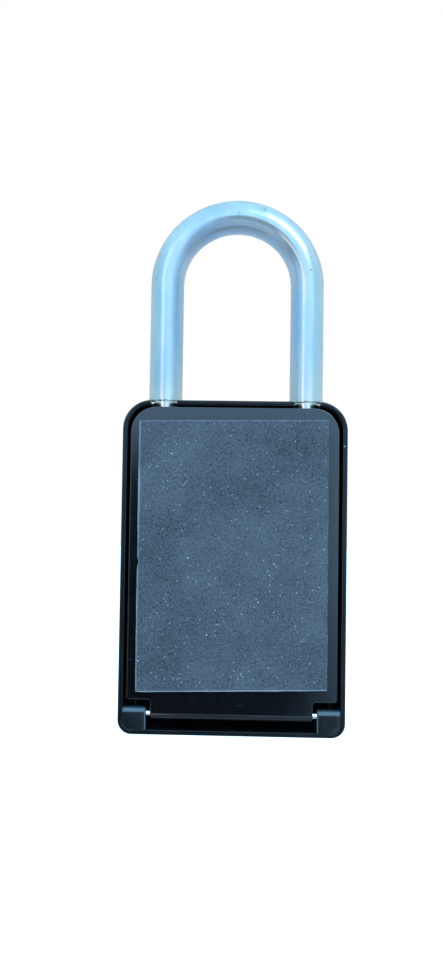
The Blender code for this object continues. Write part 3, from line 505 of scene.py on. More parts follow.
def drill(piece, axis, centre, radius, ends, steps=48):
    profile = [(radius, end) for end in ends]
    return combine(piece, makeTurned("bore", axis, centre, profile, piece.data.materials[0], steps))


def place(piece, body, slot, *nodes):
    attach(piece, body)
    if nodes:
        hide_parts(*nodes)
    return piece


# A copy of a solid with its edges broken, which stands for it.
def refine(node, material, body, slot, width, segments=2):
    shape = bmesh.new()
    shape.from_mesh(cadNodes[node].data)
    bmesh.ops.remove_doubles(shape, verts=shape.verts, dist=0.000002)
    bmesh.ops.dissolve_limit(shape, angle_limit=math.radians(1), verts=shape.verts, edges=shape.edges)
    piece = makePiece(node + "_fine", shape, material)
    breakEdges(piece, width, segments, 40)
    return place(dress(piece, material, 50), body, slot, node)


# A tree of geometry nodes with named inputs.
def newBuild(name, inputs):
    tree = bpy.data.node_groups.new(name, "GeometryNodeTree")
    tree.interface.new_socket("Geometry", in_out="INPUT", socket_type="NodeSocketGeometry")
    for key, value in inputs.items():
        kind = {int: "NodeSocketInt", tuple: "NodeSocketVector"}.get(type(value), "NodeSocketFloat")
        if isinstance(value, bpy.types.Material):
            kind = "NodeSocketMaterial"
        made = tree.interface.new_socket(key, in_out="INPUT", socket_type=kind)
        made.default_value = value
    tree.interface.new_socket("Geometry", in_out="OUTPUT", socket_type="NodeSocketGeometry")
    sheet = Sheet(tree)
    return sheet, sheet.node("NodeGroupInput")


def closeBuild(sheet, geometry, given):
    plain = sheet.node("GeometryNodeRealizeInstances", None, {0: geometry})
    sockets = {"Geometry": plain, "Material": given.also("Finish")}
    painted = sheet.node("GeometryNodeSetMaterial", None, sockets)
    sheet.node("NodeGroupOutput", None, {0: painted})
    return sheet.tree


# Run a build on a few starting points and keep the mesh.
def runBuild(name, tree, points, edges, values, material, sharp=35):
    mesh = bpy.data.meshes.new(name)
    mesh.from_pydata(points, edges, [])
    piece = addObject(name, mesh)
    modifier = piece.modifiers.new("build", "NODES")
    modifier.node_group = tree
    values = {**values, "Finish": material}
    for item in tree.interface.items_tree:
        if item.in_out == "INPUT" and item.name in values:
            modifier[item.identifier] = values[item.name]
    settle(piece)
    return dress(piece, material, sharp)


def vector(sheet, x=0.0, y=0.0, z=0.0):
    return sheet.node("ShaderNodeCombineXYZ", None, {"X": x, "Y": y, "Z": z})


def joined(sheet, shapes, kind="GeometryNodeJoinGeometry", settings=None, socket=0):
    group = sheet.node(kind, settings)
    for shape in shapes:
        sheet.feed(group.node, {socket: shape})
    return group


def moved(sheet, geometry, **offset):
    sockets = {"Geometry": geometry, "Translation": vector(sheet, **offset)}
    return sheet.node("GeometryNodeTransform", None, sockets)


def swept(sheet, path, sides, radius, caps):
    ring = sheet.node("GeometryNodeCurvePrimitiveCircle", None, {"Resolution": sides, "Radius": radius})
    sockets = {"Curve": path, "Profile Curve": ring, "Fill Caps": caps}
    return sheet.node("GeometryNodeCurveToMesh", None, sockets)


def onPoints(sheet, given, shape, **more):  # a copy at each starting point
    points = sheet.node("GeometryNodeMeshToPoints", None, {0: given})
    sockets = {"Points": points, "Instance": shape, **more}
    return sheet.node("GeometryNodeInstanceOnPoints", None, sockets)


# A round tube along the edges it is given. A ripple roughens it near the cut ends.
def tubeBuild():
    inputs = {"Radius": 0.005, "Sides": 40, "Ripple": 0.0, "End": 0.12, "Finish": plainSteel}
    sheet, given = newBuild("tubeAlongPath", inputs)
    path = sheet.node("GeometryNodeMeshToCurve", None, {0: given})
    tube = swept(sheet, path, given.also("Sides"), given.also("Radius"), False)
    spot = sheet.node("GeometryNodeInputPosition")
    height = sheet.split(spot)[2] - given.also("End")
    nearEnd = 1 - height.rise(0.0, 0.0016)
    wave = sheet.cloud(spot, 420, 2) - 0.42
    drop = vector(sheet, z=wave * nearEnd * given.also("Ripple"))
    tube = sheet.node("GeometryNodeSetPosition", None, {"Geometry": tube, "Offset": drop})
    return closeBuild(sheet, tube, given)


# Screws with a domed head and a cross recess. The head's underside is at each point.
def screwBuild():
    inputs = {"Head Radius": 0.002, "Head Height": 0.0012, "Shank Radius": 0.001, "Length": 0.006,
              "Turn": (0.0, 0.0, 0.0), "Finish": plainSteel}
    sheet, given = newBuild("crossScrews", inputs)
    radius, rise, length = (given.also(key) for key in ("Head Radius", "Head Height", "Length"))
    head = sheet.node("GeometryNodeMeshCylinder", None, {
        "Vertices": 28, "Side Segments": 3, "Fill Segments": 5, "Radius": radius, "Depth": rise * 0.55})
    x, y, z = sheet.split(sheet.node("GeometryNodeInputPosition"))
    out = ((x * x + y * y) ** 0.5) / radius
    dome = (1 - out * out) * rise * 0.45 * z.over(0.0)
    head = sheet.node("GeometryNodeSetPosition", None, {
        "Geometry": head, "Offset": vector(sheet, z=dome + rise * 0.275)})
    bars = []
    for long, wide in ((1.25, 0.26), (0.26, 1.25)):
        size = vector(sheet, radius * long, radius * wide, rise)
        bar = sheet.node("GeometryNodeMeshCube", None, {"Size": size})
        bars.append(moved(sheet, bar, z=rise * 1.02))
    recess = joined(sheet, bars, "GeometryNodeMeshBoolean", {"operation": "UNION"}, "Mesh 2")
    sockets = {"Mesh 1": head, "Mesh 2": recess}
    head = sheet.node("GeometryNodeMeshBoolean", {"operation": "DIFFERENCE"}, sockets)
    sockets = {"Vertices": 20, "Radius": given.also("Shank Radius"), "Depth": length}
    shank = sheet.node("GeometryNodeMeshCylinder", None, sockets)
    shank = moved(sheet, shank, z=length * -0.5 + 0.0001)
    turn = sheet.node("FunctionNodeEulerToRotation", None, {0: given.also("Turn")})
    screws = onPoints(sheet, given, joined(sheet, (head, shank)), Rotation=turn)
    return closeBuild(sheet, screws, given)


# A row of bars with rounded ends along X, stacked in Z from each point.
def ribBuild():
    inputs = {"Count": 3, "Spacing": 0.003, "Length": 0.012, "Thickness": 0.0006, "Finish": leverGrey}
    sheet, given = newBuild("gripRibs", inputs)
    length, thick = given.also("Length"), given.also("Thickness")
    half = length * 0.5
    line = sheet.node("GeometryNodeCurvePrimitiveLine", None, {
        "Start": vector(sheet, x=half * -1.0), "End": vector(sheet, x=half)})
    line = sheet.node("GeometryNodeResampleCurve", None, {"Curve": line, "Count": 26})
    along = sheet.node("GeometryNodeSplineParameter")
    fromEnd = (0.5 - abs(along - 0.5)) * length / thick
    size = (1 - (1 - fromEnd.least(1.0)) ** 2).most(0.0004) ** 0.5
    line = sheet.node("GeometryNodeSetCurveRadius", None, {"Curve": line, "Radius": size})
    rib = swept(sheet, line, 14, thick, True)
    spots = sheet.node("GeometryNodeMeshLine", None, {
        "Count": given.also("Count"), "Offset": vector(sheet, z=given.also("Spacing"))})
    ribs = sheet.node("GeometryNodeInstanceOnPoints", None, {"Points": spots, "Instance": rib})
    return closeBuild(sheet, onPoints(sheet, given, ribs), given)


# The ten digits of a dial, laid out flat and then wrapped round its rim.
def digitBuild():
    inputs = {"Radius": 0.0094, "Height": 0.0040, "Thickness": 0.0002, "First": 0.0,
              "Middle": (0.0, 0.0, 0.0), "Finish": digitPaint}
    sheet, given = newBuild("dialDigits", inputs)
    radius = given.also("Radius")
    rows = []
    for digit in range(10):
        text = sheet.node("GeometryNodeStringToCurves", {"align_x": "CENTER", "align_y": "MIDDLE"},
                          {"String": str(digit), "Size": given.also("Height")})
        shift = radius * (math.radians(36) * digit) + given.also("First") * radius
        rows.append(moved(sheet, text, y=shift))
    curves = sheet.node("GeometryNodeRealizeInstances", None, {0: joined(sheet, rows)})
    faces = sheet.node("GeometryNodeFillCurve", None, {0: curves})
    solid = sheet.node("GeometryNodeExtrudeMesh", None, {
        "Mesh": faces, "Offset Scale": given.also("Thickness"), "Individual": False})
    flipped = sheet.node("GeometryNodeFlipFaces", None, {0: faces})
    sockets = {0: joined(sheet, (solid, flipped)), "Distance": 0.000001}
    solid = sheet.node("GeometryNodeMergeByDistance", None, sockets)
    x, y, z = sheet.split(sheet.node("GeometryNodeInputPosition"))
    angle, out = y / radius, radius + z
    middleX, middleY, middleZ = sheet.split(given.also("Middle"))
    wrapped = vector(
        sheet, x + middleX,
        middleY - out * angle.maths("COSINE", angle),
        middleZ + out * angle.maths("SINE", angle))
    solid = sheet.node("GeometryNodeSetPosition", None, {"Geometry": solid, "Position": wrapped})
    return closeBuild(sheet, solid, given)


tubeTree = tubeBuild()
screwTree = screwBuild()
ribTree = ribBuild()
digitTree = digitBuild()
print("node builds ready")


shackle = {
    "steps": 72,  # round the arch
    "barSides": 40,
    "grooveDepth": 0.0012,
    "grooveHeight": 0.0034,
    "grooveAbove": 0.0007,  # its top above the catch
    "endChamfer": 0.0006,
    "sleeveSides": 44,
    "legSpans": 14,
    "nearEnds": (0.0004, 0.0009, 0.0016),
    "skin": 0.00005,  # sleeve inside the solid's size
    "fit": 0.00006,  # how far the sleeve grips into the bar
    "ripple": 0.0022,  # how uneven the sleeve's cut ends are
    "rim": 0.00022,
}


def archTurns():
    return [math.pi * k / shackle["steps"] for k in range(shackle["steps"] + 1)]


def onArch(turn):
    return Vector((legX * math.cos(turn), legY, archZ + legX * math.sin(turn)))


def loopPath(bottom):
    spans = shackle["legSpans"]
    levels = {bottom + (archZ - bottom) * k / spans for k in range(spans + 1)}
    levels |= {bottom, archZ, *[bottom + near for near in shackle["nearEnds"]]}
    right = [(legX, legY, level) for level in sorted(levels)[:-1]]
    left = [(-x, y, z) for x, y, z in reversed(right)]
    return right + [tuple(onArch(turn)) for turn in archTurns()] + left


def makeShackleBar():
    bottom, chamfer = barLow.z, shackle["endChamfer"]
    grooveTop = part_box("shackle_catch")[1].z + shackle["grooveAbove"]
    grooveLow = grooveTop - shackle["grooveHeight"]
    thin = barRadius - shackle["grooveDepth"]
    profile = [  # height, radius
        (bottom, 0.000001), (bottom, barRadius - chamfer), (bottom + chamfer, barRadius),
        (grooveLow, barRadius), (grooveLow, thin), (grooveTop, thin), (grooveTop, barRadius),
        (archZ - 0.004, barRadius),
    ]
    stations = [(Vector((legX, legY, height)), 0.0, radius) for height, radius in profile]
    stations += [(onArch(turn), turn, barRadius) for turn in archTurns()]
    stations += [(Vector((-legX, legY, height)), math.pi, radius) for height, radius in reversed(profile)]
    rings = []
    for middle, turn, radius in stations:
        outward = Vector((math.cos(turn), 0, math.sin(turn)))
        rings.append([
            middle + outward * radius * math.cos(angle) + Vector((0, radius * math.sin(angle), 0))
            for angle in fullTurn(shackle["barSides"])
        ])
    bar = makeLoft("shackleBar", rings, zincPlate)
    place(bar, "shackle", "zinc_steel", "shackle_bar")


def makeSleeve():
    bottom = sleeveLow.z
    path = loopPath(bottom)
    edges = [(i, i + 1) for i in range(len(path) - 1)]
    values = {"Radius": sleeveRadius - shackle["skin"], "Sides": shackle["sleeveSides"],
              "Ripple": shackle["ripple"], "End": bottom}
    sleeve = runBuild("shackleSleeve", tubeTree, path, edges, values, clearVinyl)
    for vertex in sleeve.data.vertices:
        vertex.co.z = max(vertex.co.z, bottom)
    reshape(sleeve, "SOLIDIFY", thickness=sleeveRadius - barRadius + shackle["fit"], offset=-1)
    shape = bmesh.new()
    shape.from_mesh(sleeve.data)
    bmesh.ops.recalc_face_normals(shape, faces=shape.faces)
    shape.to_mesh(sleeve.data)
    shape.free()
    breakEdges(sleeve, shackle["rim"], 3, 50)
    place(dress(sleeve, clearVinyl, 60), "shackle", "clear_vinyl", "shackle_sleeve")


makeShackleBar()
makeSleeve()
print("shackle made")


foam = {
    "corners": ((-0.0340, 0.0170), (0.0343, 0.0153), (0.0346, 0.1124), (-0.0337, 0.1133)),
    "width": 0.0684,
    "height": 0.0968,
    "columns": 92,
    "rows": 132,
    "edge": 0.0007,  # how far in the cut edge is pinched
    "drop": 0.0003,
    "wave": 0.00007,
    "waveScale": 160,
    "nickLevel": 0.0615,  # dent in the edge
    "nickDepth": 0.0005,
    "nickWidth": 0.0014,
    "cornerReach": 0.0012,
    "cornerPull": 0.00012,
    "sideRagged": 0.00012,
    "endRagged": 0.00010,
}


# Where the pad's grid point (u, v) lies, on its face or on the glued side.
def foamPoint(u, v, outer):
    lowLeft, lowRight, highRight, highLeft = [Vector(corner) for corner in foam["corners"]]
    flat = lowLeft.lerp(lowRight, u).lerp(highLeft.lerp(highRight, u), v)
    wander = noise.noise(Vector((flat.x, 0.7, flat.y)) * foam["waveScale"])
    toSide = min(u, 1 - u) * foam["width"]
    toEnd = min(v, 1 - v) * foam["height"]
    nearest = min(toSide, toEnd)
    inward = 0.0
    if u > 0.9:  # the nick
        away = (flat.y - foam["nickLevel"]) / foam["nickWidth"]
        inward = foam["nickDepth"] * math.exp(-(away ** 2)) * (u - 0.9) * 10
    if nearest == 0:
        inward += foam["sideRagged"] * (1 + wander)
    reach = foam["cornerReach"]
    pull = max(0.0, reach - toSide) * max(0.0, reach - toEnd) / reach ** 2 * foam["cornerPull"]
    x = flat.x + (-(inward + pull) if u > 0.5 else inward + pull)
    z = flat.y + (-pull if v > 0.5 else pull)
    if toEnd == 0:
        z += (-1 if v > 0.5 else 1) * foam["endRagged"] * (1 + wander)
    if not outer:
        return (x, foamLow.y, z)
    pinch = max(0.0, 1 - nearest / foam["edge"]) ** 2 * foam["drop"]
    return (x, foamHigh.y - pinch - foam["wave"] * (1 + wander), z)


def makeFoamPad():
    columns, rows = foam["columns"], foam["rows"]
    shape = bmesh.new()
    layers = [
        [[shape.verts.new(foamPoint(c / columns, r / rows, outer)) for c in range(columns + 1)]
         for r in range(rows + 1)]
        for outer in (True, False)
    ]
    for grid in layers:
        for near, far in zip(grid, grid[1:]):
            for c in range(columns):
                shape.faces.new((near[c], near[c + 1], far[c + 1], far[c]))
    top, bottom = layers
    around = [(0, c) for c in range(columns)] + [(r, columns) for r in range(rows)]
    around += [(rows, c) for c in range(columns, 0, -1)] + [(r, 0) for r in range(rows, 0, -1)]
    for (r, c), (s, d) in zip(around, around[1:] + around[:1]):
        shape.faces.new((top[r][c], top[s][d], bottom[s][d], bottom[r][c]))
    pad = makePiece("foamPad", shape, foamRubber, 50)
    place(pad, "case", "foam", "foam_pad")


makeFoamPad()
print("foam pad made")


case = {
    "panelInside": 0.0169,
    "panelBack": 0.0189,
    "edge": 0.00035,
    "topRadius": 0.0090,
    "smallRadius": 0.0010,
    "notchTop": 0.0125,
    "tongueHalf": 0.0290,
    "tongueRise": 0.0018,  # tongue above the notch, into the panel
    "tongueStep": 0.0004,  # its back in front of the barrel's
    "tongueHeel": 0.0008,  # lowest point of its flat back above the pin
    "tongueSoft": 0.0003,
    "barrel": 0.0023,
    "pinBore": 0.0014,
    "trayWall": 0.0020,
    "trayInset": 0.0006,
    "trayTopRadius": 0.0080,
    "trayLip": 0.0004,
    "trayStep": 0.0004,  # tray floor above the notch, and its side into the panel
    "bushFlange": 0.0013,  # bush top above the tray
    "bushHole": 0.0062,
    "bossX": 0.0120,
    "bossFoot": 0.1020,
    "bossRadius": 0.0024,
    "bossBore": 0.0010,
}


def makeBackPanel():
    half, top = caseHigh.x, caseHigh.z
    small, tongue, notch = case["smallRadius"], case["tongueHalf"], case["notchTop"]
    corners = [
        (-half, notch, small), (-tongue, notch, small * 0.8), (-tongue, hingeZ, 0.0),
        (tongue, hingeZ, 0.0), (tongue, notch, small * 0.8), (half, notch, small),
        (half, top, case["topRadius"]), (-half, top, case["topRadius"]),
    ]
    stations = softEdges(case["panelInside"], case["panelBack"], 0.0, case["edge"])
    panel = makeSlab("backPanel", "Y", corners, stations, glossBlack)
    place(panel, "case", "case_plastic", "back_case")


def makeTongue():
    radius, half, soft = case["barrel"], case["tongueHalf"], case["tongueSoft"]
    top, back = case["notchTop"] + case["tongueRise"], hingeY + radius - case["tongueStep"]
    profile = []
    for k in range(25):  # round under the pin, from the back to the inside
        turn = math.pi * k / 24
        profile.append((hingeY + radius * math.cos(turn), hingeZ - radius * math.sin(turn)))
    profile += [(hingeY - radius, top), (back, top), (back, hingeZ + case["tongueHeel"])]
    middle = Vector((hingeY, hingeZ + 0.002))
    rings = []
    for x, shrink in ((-half, 0.93), (-half + soft, 1.0), (half - soft, 1.0), (half, 0.93)):
        rings.append([(x, *(middle + (Vector(p) - middle) * shrink)) for p in profile])
    tongue = makeLoft("hingeTongue", rings, barrelBlack)
    drill(tongue, "X", (0, hingeY, hingeZ), case["pinBore"], (-0.05, 0.05), 32)
    place(dress(tongue, barrelBlack), "case", "case_plastic")


def trayRing(low, high, inset, stations, name):
    foot, crown = case["smallRadius"], case["trayTopRadius"] - inset
    (left, bottom), (right, top) = low, high
    corners = [
        (left + inset, bottom + inset, foot), (right - inset, bottom + inset, foot),
        (right - inset, top - inset, crown), (left + inset, top - inset, crown),
    ]
    return makeSlab(name, "Y", corners, stations, glossBlack)


def makeTray():
    half = caseHigh.x - case["trayInset"]
    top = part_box("leg_bush_left")[1].z - case["bushFlange"]
    low, high = (-half, case["notchTop"] + case["trayStep"]), (half, top)
    mouth, lip, inside = caseLow.y, case["trayLip"], case["panelInside"]
    tray = trayRing(low, high, 0.0, softEdges(mouth, inside + case["trayStep"], lip, 0.0), "keyTray")
    stations = [(-lip, mouth - past), (-lip, mouth), (0.0, mouth + lip), (0.0, inside)]
    combine(tray, trayRing(low, high, case["trayWall"], stations, "hollow"))
    for side, name in bothSides:
        drill(tray, "Z", (side * legX, legY, 0), case["bushHole"], (top - 0.006, top + 0.002))
    bore, radius, foot = case["bossBore"], case["bossRadius"], case["bossFoot"]
    profile = [(bore, foot), (radius, foot), (radius, top - past), (bore, top - past)]
    for side, name in bothSides:
        centre = (side * case["bossX"], legY, 0)
        boss = makeTurned(f"trayBoss_{name}", "Z", centre, profile, glossBlack, closed=True)
        place(boss, "case", "case_plastic")
    place(dress(tray, innerBlack, 40), "case", "case_plastic")


makeBackPanel()
makeTongue()
makeTray()
print("back case made")


cover = {
    "wall": 0.0018,
    "face": 0.0025,
    "front": -0.0175,
    "topRadius": 0.0105,
    "footRadius": 0.0050,
    "frontEdge": 0.0030,
    "rimEdge": 0.0006,
    "windowReach": 0.00835,  # above and below the dials' axis
    "windowGap": 0.0003,  # beside each dial
    "windowBevel": 0.0004,
    "slot": ((-0.0029, 0.0899), (0.0029, 0.1036)),  # for the lever's stem
    "slotRadius": 0.0006,
    "slotBevel": 0.0003,
    "notchHalf": 0.0049,
}


def coverCorners(inset=0.0):
    half, top = coverHigh.x - inset, coverHigh.z - inset
    foot, crown = cover["footRadius"] - inset, cover["topRadius"] - inset
    return [(-half, inset, foot), (half, inset, foot), (half, top, crown), (-half, top, crown)]


def cutOpening(lid, corners, bevel):
    front, inside = cover["front"], cover["front"] + cover["face"]
    stations = [(-bevel, front - past), (-bevel, front), (0.0, front + bevel), (0.0, inside + past)]
    combine(lid, makeSlab("opening", "Y", corners, stations, satinBlack, 3))


def makeCover():
    top, rim = coverHigh.z, coverHigh.y
    wall, front, reach = cover["wall"], cover["front"], cover["windowReach"]
    inside = front + cover["face"]
    stations = softEdges(front, rim, cover["frontEdge"], cover["rimEdge"], 6)
    stations += [(wall - 0.0003, rim), (wall - 0.0001, rim - 0.0001), (wall, rim - 0.0003)]
    stations += [(wall, inside + 0.0010), (wall + 0.0003, inside + 0.0003), (wall + 0.0010, inside)]
    lid = makeSlab("frontCover", "Y", coverCorners(), stations, satinBlack, steps=12)
    for number in (1, 2, 3, 4):
        low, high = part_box(f"dial_{number}")
        left, right = low.x - cover["windowGap"], high.x + cover["windowGap"]
        corners = cornersOf((left, dialZ - reach), (right, dialZ + reach), 0.0004)
        cutOpening(lid, corners, cover["windowBevel"])
    cutOpening(lid, cornersOf(*cover["slot"], cover["slotRadius"]), cover["slotBevel"])
    reach, soft = cover["notchHalf"], cover["slotBevel"]
    stations = [(0.0, top - wall - 0.003), (0.0, top - soft), (-soft, top), (-soft, top + 0.002)]
    for side, name in bothSides:
        left, right = side * legX - reach, side * legX + reach
        corners = [
            (left, legY - reach, reach * 0.98), (right, legY - reach, reach * 0.98),
            (right, rim + 0.005, 0.0), (left, rim + 0.005, 0.0),
        ]
        combine(lid, makeSlab("notch", "Z", corners, stations, satinBlack))
    place(dress(lid, satinBlack, 32), "door", "cover_plastic", "front_cover")


knuckle = {
    "inner": 0.0305,
    "inset": 0.0009,  # inside the cover's outline
    "top": 0.0095,
    "rimStep": 0.0002,
    "front": 0.0021,  # in front of the pin
    "round": 0.0021,
    "depth": 0.0014,
    "bevel": 0.0006,
    "lean": 0.0003,  # the outer face leans back towards its top
    "boreEnd": 0.0382,
}


def makeKnuckle(side, name):
    inner, outer = knuckle["inner"], coverHigh.x - knuckle["inset"]
    top, rim, foot = knuckle["top"], coverHigh.y - knuckle["rimStep"], knuckle["inset"]
    front, bevel = hingeY - knuckle["front"], knuckle["bevel"]
    profile = [(front, foot), (rim, foot)]
    for k in range(9):
        turn = math.radians(8 + 72 * k / 8)
        y = rim - knuckle["lean"] - knuckle["depth"] * (1 - math.cos(turn))
        profile.append((y, top - knuckle["round"] * (1 - math.sin(turn))))
    profile.append((front, top))
    rings = []
    for shrink, x in softEdges(inner, outer, bevel, 0.0, 5):
        rings.append([(side * x, y - shrink * (y > hingeY), z - shrink * (z > hingeZ)) for y, z in profile])
    block = makeLoft(f"hingeKnuckle_{name}", rings, knuckleBlack)
    stations = [(0.0, 0.0), (0.0, 0.03)]
    trim = makeSlab("trim", "Y", coverCorners(knuckle["inset"]), stations, knuckleBlack, 12)
    combine(block, trim, "INTERSECT")
    ends = (-0.06, 0.0) if side < 0 else (0.0, knuckle["boreEnd"])
    drill(block, "X", (0, hingeY, hingeZ), case["pinBore"], ends, 32)
    place(dress(block, knuckleBlack, 32), "door", "cover_plastic")


rail = {
    "inner": 0.0253,
    "outer": 0.0293,
    "below": 0.0020,  # past the shutter's lowest edge
    "above": 0.0018,
    "sink": 0.0005,  # into the cover's face
    "round": 0.0004,
    "lip": 0.0012,
    "wall": 0.0020,
    "gap": 0.0003,
    "sillHalf": 0.0290,
}


def makeRails():
    front, base = coverLow.y, cover["front"] + rail["sink"]
    travel = next(j["range_m"][1] for j in frame["joints"] if j["name"] == "shutter_slide")
    lowest, railHigh = shutterLow.z - travel, shutterHigh.z + rail["above"]
    railLow = lowest - rail["below"]
    inner, outer, soft, gap = rail["inner"], rail["outer"], rail["round"], rail["gap"]
    lip, wall = front + rail["lip"], outer - rail["wall"]
    profile = [
        (outer, base), (outer, front + soft), (outer - soft, front), (inner + gap, front),
        (inner, front + gap), (inner, lip), (wall, lip), (wall, base),
    ]
    for side, name in bothSides:
        rings = []
        for shrink, level in softEdges(railLow, railHigh, soft, soft, 1):
            rings.append([(side * x, max(y, front + shrink), level) for x, y in profile])
        place(makeLoft(f"shutterRail_{name}", rings, satinBlack), "door", "cover_plastic")
        left, right = sorted((side * inner, side * (outer - soft)))
        corners = cornersOf((left, front + gap), (right, cover["front"] + 0.0004), 0.0002)
        stations = softEdges(shutterHigh.z + gap, railHigh - 0.0002, 0.0, 0.0003, 3)
        place(makeSlab(f"railStop_{name}", "Z", corners, stations, satinBlack, 3), "door", "cover_plastic")
    corners = cornersOf((front + gap, railLow + 0.0002), (base, lowest - gap), 0.0003)
    stations = softEdges(-rail["sillHalf"], rail["sillHalf"], 0.0003, 0.0003, 3)
    place(makeSlab("railSill", "X", corners, stations, satinBlack, 4), "door", "cover_plastic")


posts = {
    "radius": 0.0026,
    "across": 0.03,
    "levels": {"lower": 0.058, "upper": 0.092},
    "bore": 0.0015,
    "depth": 0.010,
}


def makePosts():
    inside = cover["front"] + cover["face"]
    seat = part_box("inner_cover")[0].y - 0.0003
    radius, bore, end = posts["radius"], posts["bore"], seat - posts["depth"]
    profile = [
        (radius + 0.0007, inside - 0.0002), (radius + 0.0003, inside + 0.0003), (radius, inside + 0.0010),
        (radius, seat - 0.0002), (radius - 0.0002, seat), (bore, seat), (bore, end), (0.0, end),
        (0.0, inside - 0.0002),
    ]
    for row, level in posts["levels"].items():
        for side, name in bothSides:
            centre = (side * posts["across"], 0, level)
            post = makeTurned(f"coverPost_{row}_{name}", "Y", centre, profile, innerBlack, 32)
            place(post, "door", "cover_plastic")


makeCover()
for side, name in bothSides:
    makeKnuckle(side, name)
makeRails()
makePosts()
print("front cover made")


def makeHingePin():
    radius = (pinHigh.z - pinLow.z) / 2
    low, high = pinLow.x, pinHigh.x
    profile = [
        (0.0, low), (radius * 0.6, low + 0.0001), (radius * 0.9, low + 0.0003), (radius, low + 0.0006),
        (radius, high - 0.0004), (radius * 0.8, high), (0.0, high),
    ]
    pin = makeTurned("hingePin", "X", (0, hingeY, hingeZ), profile, pinSteel, 32)
    place(pin, "case", "steel", "hinge_pin")


makeHingePin()
print("hinge pin made")


dial = {
    "fluteDepth": 0.0007,
    "edge": 0.0005,
    "around": 120,
    "hub": 0.0039,
    "digitHeight": 0.0046,
    "digitSink": 0.00012,
    "digitThickness": 0.00018,
    "showing": (0, 5, 2, 8),
}


def makeDial(number):
    low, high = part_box(f"dial_{number}")
    turns = fullTurn(dial["around"])

    def onDial(x, radius, turn):
        return (x, dialY + radius * math.cos(turn + math.pi), dialZ + radius * math.sin(turn + math.pi))

    def flute(turn):
        return dial["fluteDepth"] * max(0.0, math.cos(10 * turn + math.pi)) ** 6

    rings = []
    for inset, x in softEdges(low.x, high.x, dial["edge"], dial["edge"], 3):
        rings.append([onDial(x, dialRadius - flute(turn) - inset, turn) for turn in turns])
    for x in (high.x, low.x):
        rings.append([onDial(x, dial["hub"], turn) for turn in turns])
    wheel = makeLoft(f"dialWheel_{number}", rings, dialBlack, closed=True)
    place(wheel, f"wheel_{number}", "dial_plastic", f"dial_{number}")
    values = {
        "Radius": dialRadius - dial["digitSink"], "Height": dial["digitHeight"],
        "Thickness": dial["digitThickness"], "First": math.radians(-36 * dial["showing"][number - 1]),
        "Middle": ((low.x + high.x) / 2, dialY, dialZ),
    }
    digits = runBuild(f"dialDigits_{number}", digitTree, [(0, 0, 0)], [], values, digitPaint)
    place(digits, f"wheel_{number}", "dial_plastic")


for number in (1, 2, 3, 4):
    makeDial(number)
    refine(f"cam_{number}", turnedBrass, f"wheel_{number}", "brass", 0.00012, 1)
print("dials made")


shutter = {
    "inset": 0.0020,  # body inside its flanges
    "wall": 0.0018,
    "skin": 0.0015,
    "faceStep": 0.00035,  # room for the ribs
    "edge": 0.0012,
    "corner": 0.0008,
    "flange": 0.0011,
    "ribLevel": 0.0045,
    "ribs": {"Count": 5, "Spacing": 0.0026, "Length": 0.026, "Thickness": 0.00045},
}


def makeShutter():
    half = shutterHigh.x - shutter["inset"]
    bottom, top, back = shutterLow.z, shutterHigh.z, shutterHigh.y
    front, wall = shutterLow.y + shutter["faceStep"], shutter["wall"]
    corners = cornersOf((-half, bottom), (half, top), shutter["corner"])
    stations = softEdges(front, back, shutter["edge"], 0.0, 5)
    body = makeSlab("weatherShutter", "Y", corners, stations, satinBlack, 5)
    corners = cornersOf((-half + wall, bottom + wall), (half - wall, top + 0.01), 0.0004)
    stations = [(0.0, front + shutter["skin"]), (0.0, back + 0.01)]
    combine(body, makeSlab("hollow", "Y", corners, stations, satinBlack, 3))
    stations = softEdges(back - shutter["flange"], back - 0.00005, 0.0002, 0.0002, 2)
    for side, name in bothSides:
        left, right = sorted((side * (half - 0.0008), side * (half + shutter["inset"])))
        corners = cornersOf((left, bottom + 0.0001), (right, top - 0.0001), 0.0003)
        combine(body, makeSlab("flange", "Y", corners, stations, satinBlack, 3), "UNION")
    place(dress(body, satinBlack, 32), "shutter", "cover_plastic", "weather_shutter")
    start = (0.0, front + 0.0001, bottom + shutter["ribLevel"])
    ribs = runBuild("shutterRibs", ribTree, [start], [], shutter["ribs"], satinBlack, 60)
    place(ribs, "shutter", "cover_plastic")


lever = {
    "faceStep": 0.0006,  # room for the ribs
    "gap": 0.0003,
    "corner": 0.0024,
    "dishRadius": 0.0266,
    "dishRise": 0.0262,  # dish axis in front of the face
    "dishHalf": 0.0064,
    "stem": ((-0.0026, 0.0902), (0.0026, 0.0942)),
    "stemSink": 0.0006,
    "ribLevel": 0.0030,  # first rib below the middle
    "ribSink": 0.00045,
    "ribs": {"Count": 4, "Spacing": 0.0020, "Length": 0.0110, "Thickness": 0.00040},
}


def makeOpenLever():
    low, high, middle = knobLow.z, knobHigh.z, (knobLow.z + knobHigh.z) / 2
    front, back = knobLow.y + lever["faceStep"], cover["front"] - lever["gap"]
    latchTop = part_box("latch_plate")[0].y - lever["gap"]
    corners = cornersOf((-knobHigh.x, low), (knobHigh.x, high), lever["corner"])
    knob = makeSlab("openLever", "Y", corners, softEdges(front, back, 0.0005, 0.0002, 4), leverGrey)
    ends = (-lever["dishHalf"], lever["dishHalf"])
    drill(knob, "X", (0, front - lever["dishRise"], middle), lever["dishRadius"], ends, 160)
    stations = [(0.0, back - lever["stemSink"]), (0.0, latchTop)]
    stem = makeSlab("stem", "Y", cornersOf(*lever["stem"], 0.0004), stations, leverGrey, 3)
    combine(knob, stem, "UNION")
    place(dress(knob, leverGrey), "latch", "lever_plastic", "open_lever")
    start = (0.0, front + lever["ribSink"], middle - lever["ribLevel"])
    ribs = runBuild("leverRibs", ribTree, [start], [], lever["ribs"], leverGrey, 60)
    place(ribs, "latch", "lever_plastic")


makeShutter()
makeOpenLever()
print("shutter and open lever made")


